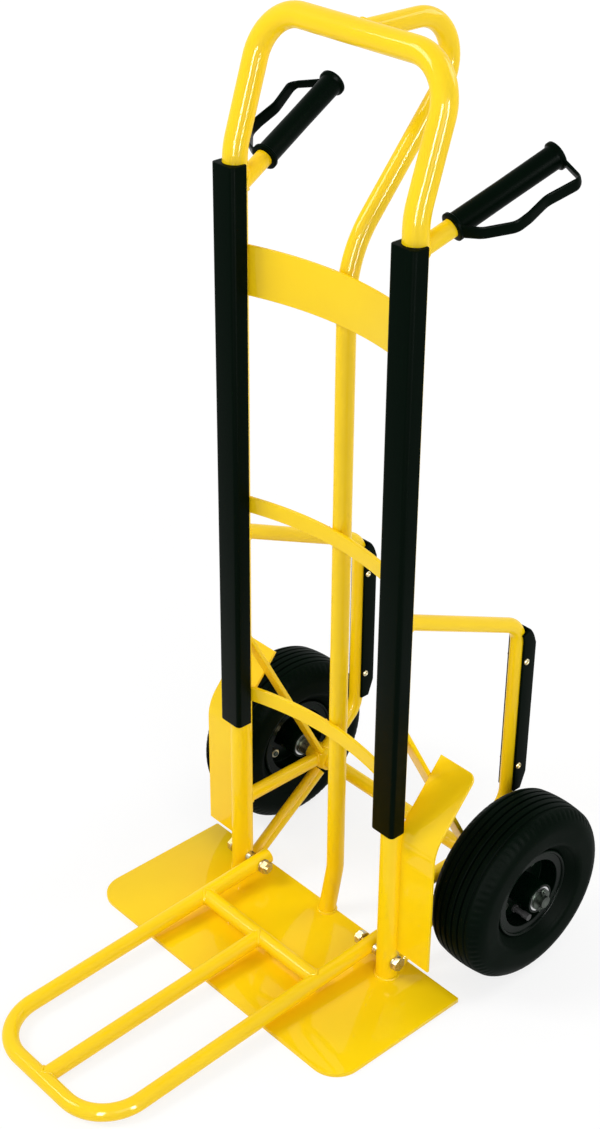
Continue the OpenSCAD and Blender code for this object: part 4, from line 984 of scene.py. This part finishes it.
class TRUCK_OT_tyres(Step):
    """Make the ribbed tyres with their shoulder cuts"""
    bl_idname = "truck.tyres"
    bl_label = "Tyres"

    def make(self, sizes, colours):
        half = tyre_outline(sizes.rib_depth * 1000)
        outline = np.concatenate([half[::-1], half[1:] * (-1, 1), TYRE_INSIDE])
        t = np.arange(TYRE_STEPS)[:, None] * 2 * np.pi / TYRE_STEPS
        h, r = outline[None, :, 0], outline[None, :, 1]
        shoulder = np.clip(1 - np.abs(np.abs(h) - CUT_AT) / CUT_REACH, 0, 1) ** 0.5 * (r > CUT_FROM_R)
        cut = np.clip((np.cos(t * sizes.lugs) - CUT_LEVEL) * CUT_STEEP, 0, 1)
        radius = r - CUT_DEPTH * shoulder * cut
        spoke = np.cos(t)[..., None] * UP + np.sin(t)[..., None] * BACK
        for name, side in SIDES:
            centre = vec(side * WHEEL_X, AXLE_Y, AXLE_Z)
            grid = centre + (side * h)[..., None] * ACROSS + radius[..., None] * spoke
            dressed(f"{name}_tyre_cover", [Sheet(grid, loop=True)], f"{name}_wheel", "tyre",
                    f"{name}_tyre", sharp=50)


def rim_outline():
    """Half of a rim as (along the axle, radius): the web, the seat, the rolled lip and back
    along the sheet's other face."""
    face, edge, seat = RIM_GAP + SHEET_T, RIM_HALF + SHEET_T, SEAT_R - SHEET_T
    lip = [(edge + SHEET_T * math.sin(a), LIP_R + SHEET_T * math.cos(a))
           for a in np.linspace(-0.4, math.pi + 0.2, 9)]
    outline = [(RIM_GAP, HUB_FIT_R), (RIM_GAP, SEAT_R), (RIM_HALF, SEAT_R), (RIM_HALF, LIP_FOOT_R)]
    return eased(outline + lip + [(edge, seat), (face, seat), (face, HUB_FIT_R)], 1.2, 4)


class TRUCK_OT_wheels(Step):
    """Make the rims, hubs and wheel bolts"""
    bl_idname = "truck.wheels"
    bl_label = "Wheels"

    def make(self, sizes, colours):
        hub = [(-HUB_HALF, BEARING_R), (-HUB_HALF, HUB_R), (HUB_HALF, HUB_R), (HUB_HALF, BEARING_R),
               (BEARING_AT, BEARING_R), (BEARING_AT, HUB_BORE_R), (-BEARING_AT, HUB_BORE_R),
               (-BEARING_AT, BEARING_R)]
        web = RIM_GAP + SHEET_T
        for name, side in SIDES:
            axis, centre, body = side * ACROSS, vec(side * WHEEL_X, AXLE_Y, AXLE_Z), f"{name}_wheel"
            for face, way, node in (("front", 1, "outer_rim"), ("back", -1, "inner_rim")):
                rim = Sheet(turned(rim_outline() * (way, 1), centre, axis, UP, 120), loop=True)
                dressed(f"{name}_rim_{face}", [rim], body, "dark_rim", f"{name}_{node}", sharp=40)
            dressed(f"{name}_hub_sleeve", [lathe(hub, centre, axis, UP, 96, 0.8)], body, "dark_rim",
                    f"{name}_hub", sharp=40)
            heads, nuts = [], []
            for i in range(BOLTS):
                a = math.radians(FIRST_BOLT + 360 / BOLTS * i)
                at = centre + BOLT_CIRCLE_R * (math.cos(a) * UP + math.sin(a) * BACK)
                heads += [hexagon(web, web + HEAD_T, HEAD_R, at, axis, 0.0, HEAD_TURN * i),
                          pin(-BOLT_END, web + BOLT_INTO, BOLT_R, at, axis)]
                nuts += [hexagon(-NUT_END, -web, HEAD_R, at, axis, NUT_BORE_R, NUT_TURN * i)]
            dressed(f"{name}_wheel_bolts", heads, body, "zinc", f"{name}_rim_bolts", sharp=20,
                    finish="dull_zinc")
            dressed(f"{name}_wheel_nuts", nuts, body, "zinc", f"{name}_rim_nuts", sharp=20)


# Stage

class TRUCK_OT_stage(Step):
    """Make the floor, the studio light and the camera"""
    bl_idname = "truck.stage"
    bl_label = "Stage"

    def make(self, sizes, colours):
        scene = bpy.context.scene
        mesh = bpy.data.meshes.new("floor")
        h = FLOOR_HALF
        mesh.from_pydata([(-h, -h, 0), (h, -h, 0), (h, h, 0), (-h, h, 0)], [], [(0, 1, 2, 3)])
        mesh.materials.append(floor_finish())
        floor = bpy.data.objects.new("floor", mesh)
        scene.collection.objects.link(floor)
        scene.world = studio_world(WORLD_SEEN, WORLD_LIGHT)
        for name, at, aim, size, power in LAMPS:
            lamp = bpy.data.lights.new(name, "AREA")
            lamp.shape, lamp.size, lamp.size_y, lamp.energy = "RECTANGLE", size[0], size[1], power
            holder = placed(name, lamp, at, unit(np.array(aim, float) - np.array(at, float)))
            holder.visible_diffuse = not name.startswith("strip")
        eye = bpy.data.cameras.new("camera")
        eye.lens, eye.sensor_width, eye.sensor_fit = LENS, SENSOR, "AUTO"
        eye.clip_start, eye.clip_end = 0.05, 60
        a, p = math.radians(EYE_TURN), math.radians(EYE_PITCH)
        way = np.array([-math.sin(a) * math.cos(p), math.cos(a) * math.cos(p), -math.sin(p)])
        scene.camera = placed("camera", eye, row(vec(*EYE)), way, math.radians(EYE_ROLL))
        scene.view_settings.view_transform = "Standard"


def floor_finish():
    """White paper that keeps the truck's shadow close to it and fades to plain white."""
    f = Finish("studio_floor")
    f.set(Base_Color=(0.90, 0.90, 0.90, 1), Roughness=0.9, Specular_IOR_Level=0.0)
    glow = f.node("ShaderNodeEmission", {}, {"Color": (1, 1, 1, 1), "Strength": FLOOR_GLOW})
    path = f.node("ShaderNodeLightPath", {}, {}, "Is Camera Ray")
    outputs = path.socket.node.outputs
    seen = path + Val(f, outputs["Is Glossy Ray"]) + Val(f, outputs["Is Transmission Ray"])
    distance = f.node("ShaderNodeVectorMath", {"operation": "LENGTH"}, {0: f.place}, 1)
    share = seen * f.band(distance, FADE_FROM, FADE_TO, FADE_LOW, 1.0)
    both = f.node("ShaderNodeMixShader", {}, {0: share, 1: Val(f, f.shader.outputs[0]), 2: glow})
    f.links.new(both.socket, f.nodes["Material Output"].inputs["Surface"])
    return f.material


def studio_world(seen_level, light_level):
    """A white world that lights the truck at one level and is seen and reflected at another."""
    world = bpy.data.worlds.new("studio")
    world.use_nodes = True
    nodes, links = world.node_tree.nodes, world.node_tree.links
    sky, path = nodes["Background"], nodes.new("ShaderNodeLightPath")
    sky.inputs["Color"].default_value = (1, 1, 1, 1)
    seen = path.outputs["Is Camera Ray"]
    for other in ("Is Glossy Ray", "Is Transmission Ray"):
        both = nodes.new("ShaderNodeMath")
        links.new(seen, both.inputs[0])
        links.new(path.outputs[other], both.inputs[1])
        seen = both.outputs[0]
    level = nodes.new("ShaderNodeMapRange")
    level.inputs["To Min"].default_value = light_level
    level.inputs["To Max"].default_value = seen_level
    links.new(seen, level.inputs["Value"])
    links.new(level.outputs[0], sky.inputs["Strength"])
    return world


def placed(name, data, at, way, roll=0.0):
    """Puts a lamp or a camera in the scene, with its -Z along a direction and +Y up, rolled
    about that direction."""
    right = unit(np.cross(way, UP))
    up = np.cross(right, way)
    r = math.cos(roll) * right + math.sin(roll) * up
    u = math.cos(roll) * up - math.sin(roll) * right
    holder = bpy.data.objects.new(name, data)
    bpy.context.scene.collection.objects.link(holder)
    holder.location = at
    holder.rotation_euler = Matrix((Vector(r), Vector(u), Vector(-way))).transposed().to_euler()
    return holder


class TRUCK_PT_panel(bpy.types.Panel):
    """Lists the steps that dress the truck"""
    bl_label = "Sack truck"
    bl_idname = "TRUCK_PT_panel"
    bl_space_type = "VIEW_3D"
    bl_region_type = "UI"
    bl_category = "Sack truck"

    def draw(self, context):
        for group in (context.scene.truck_sizes, context.scene.truck_colours):
            for key in group.__annotations__:
                self.layout.prop(group, key)
        for step in STEPS:
            self.layout.operator(step.bl_idname)


STEPS = (TRUCK_OT_stage, TRUCK_OT_finishes, TRUCK_OT_main_tubes, TRUCK_OT_struts, TRUCK_OT_grips,
         TRUCK_OT_plates, TRUCK_OT_guards, TRUCK_OT_extension, TRUCK_OT_welds, TRUCK_OT_tyres,
         TRUCK_OT_wheels)
CLASSES = (TruckSizes, TruckColours) + STEPS + (TRUCK_PT_panel,)


def register():
    for c in CLASSES:
        bpy.utils.register_class(c)
    bpy.types.Scene.truck_sizes = bpy.props.PointerProperty(type=TruckSizes)
    bpy.types.Scene.truck_colours = bpy.props.PointerProperty(type=TruckColours)


def unregister():
    del bpy.types.Scene.truck_colours
    del bpy.types.Scene.truck_sizes
    for c in reversed(CLASSES):
        bpy.utils.unregister_class(c)


def main():
    register()
    for step in STEPS:
        group, name = step.bl_idname.split(".")
        getattr(getattr(bpy.ops, group), name)()


if __name__ == "__main__":
    main()
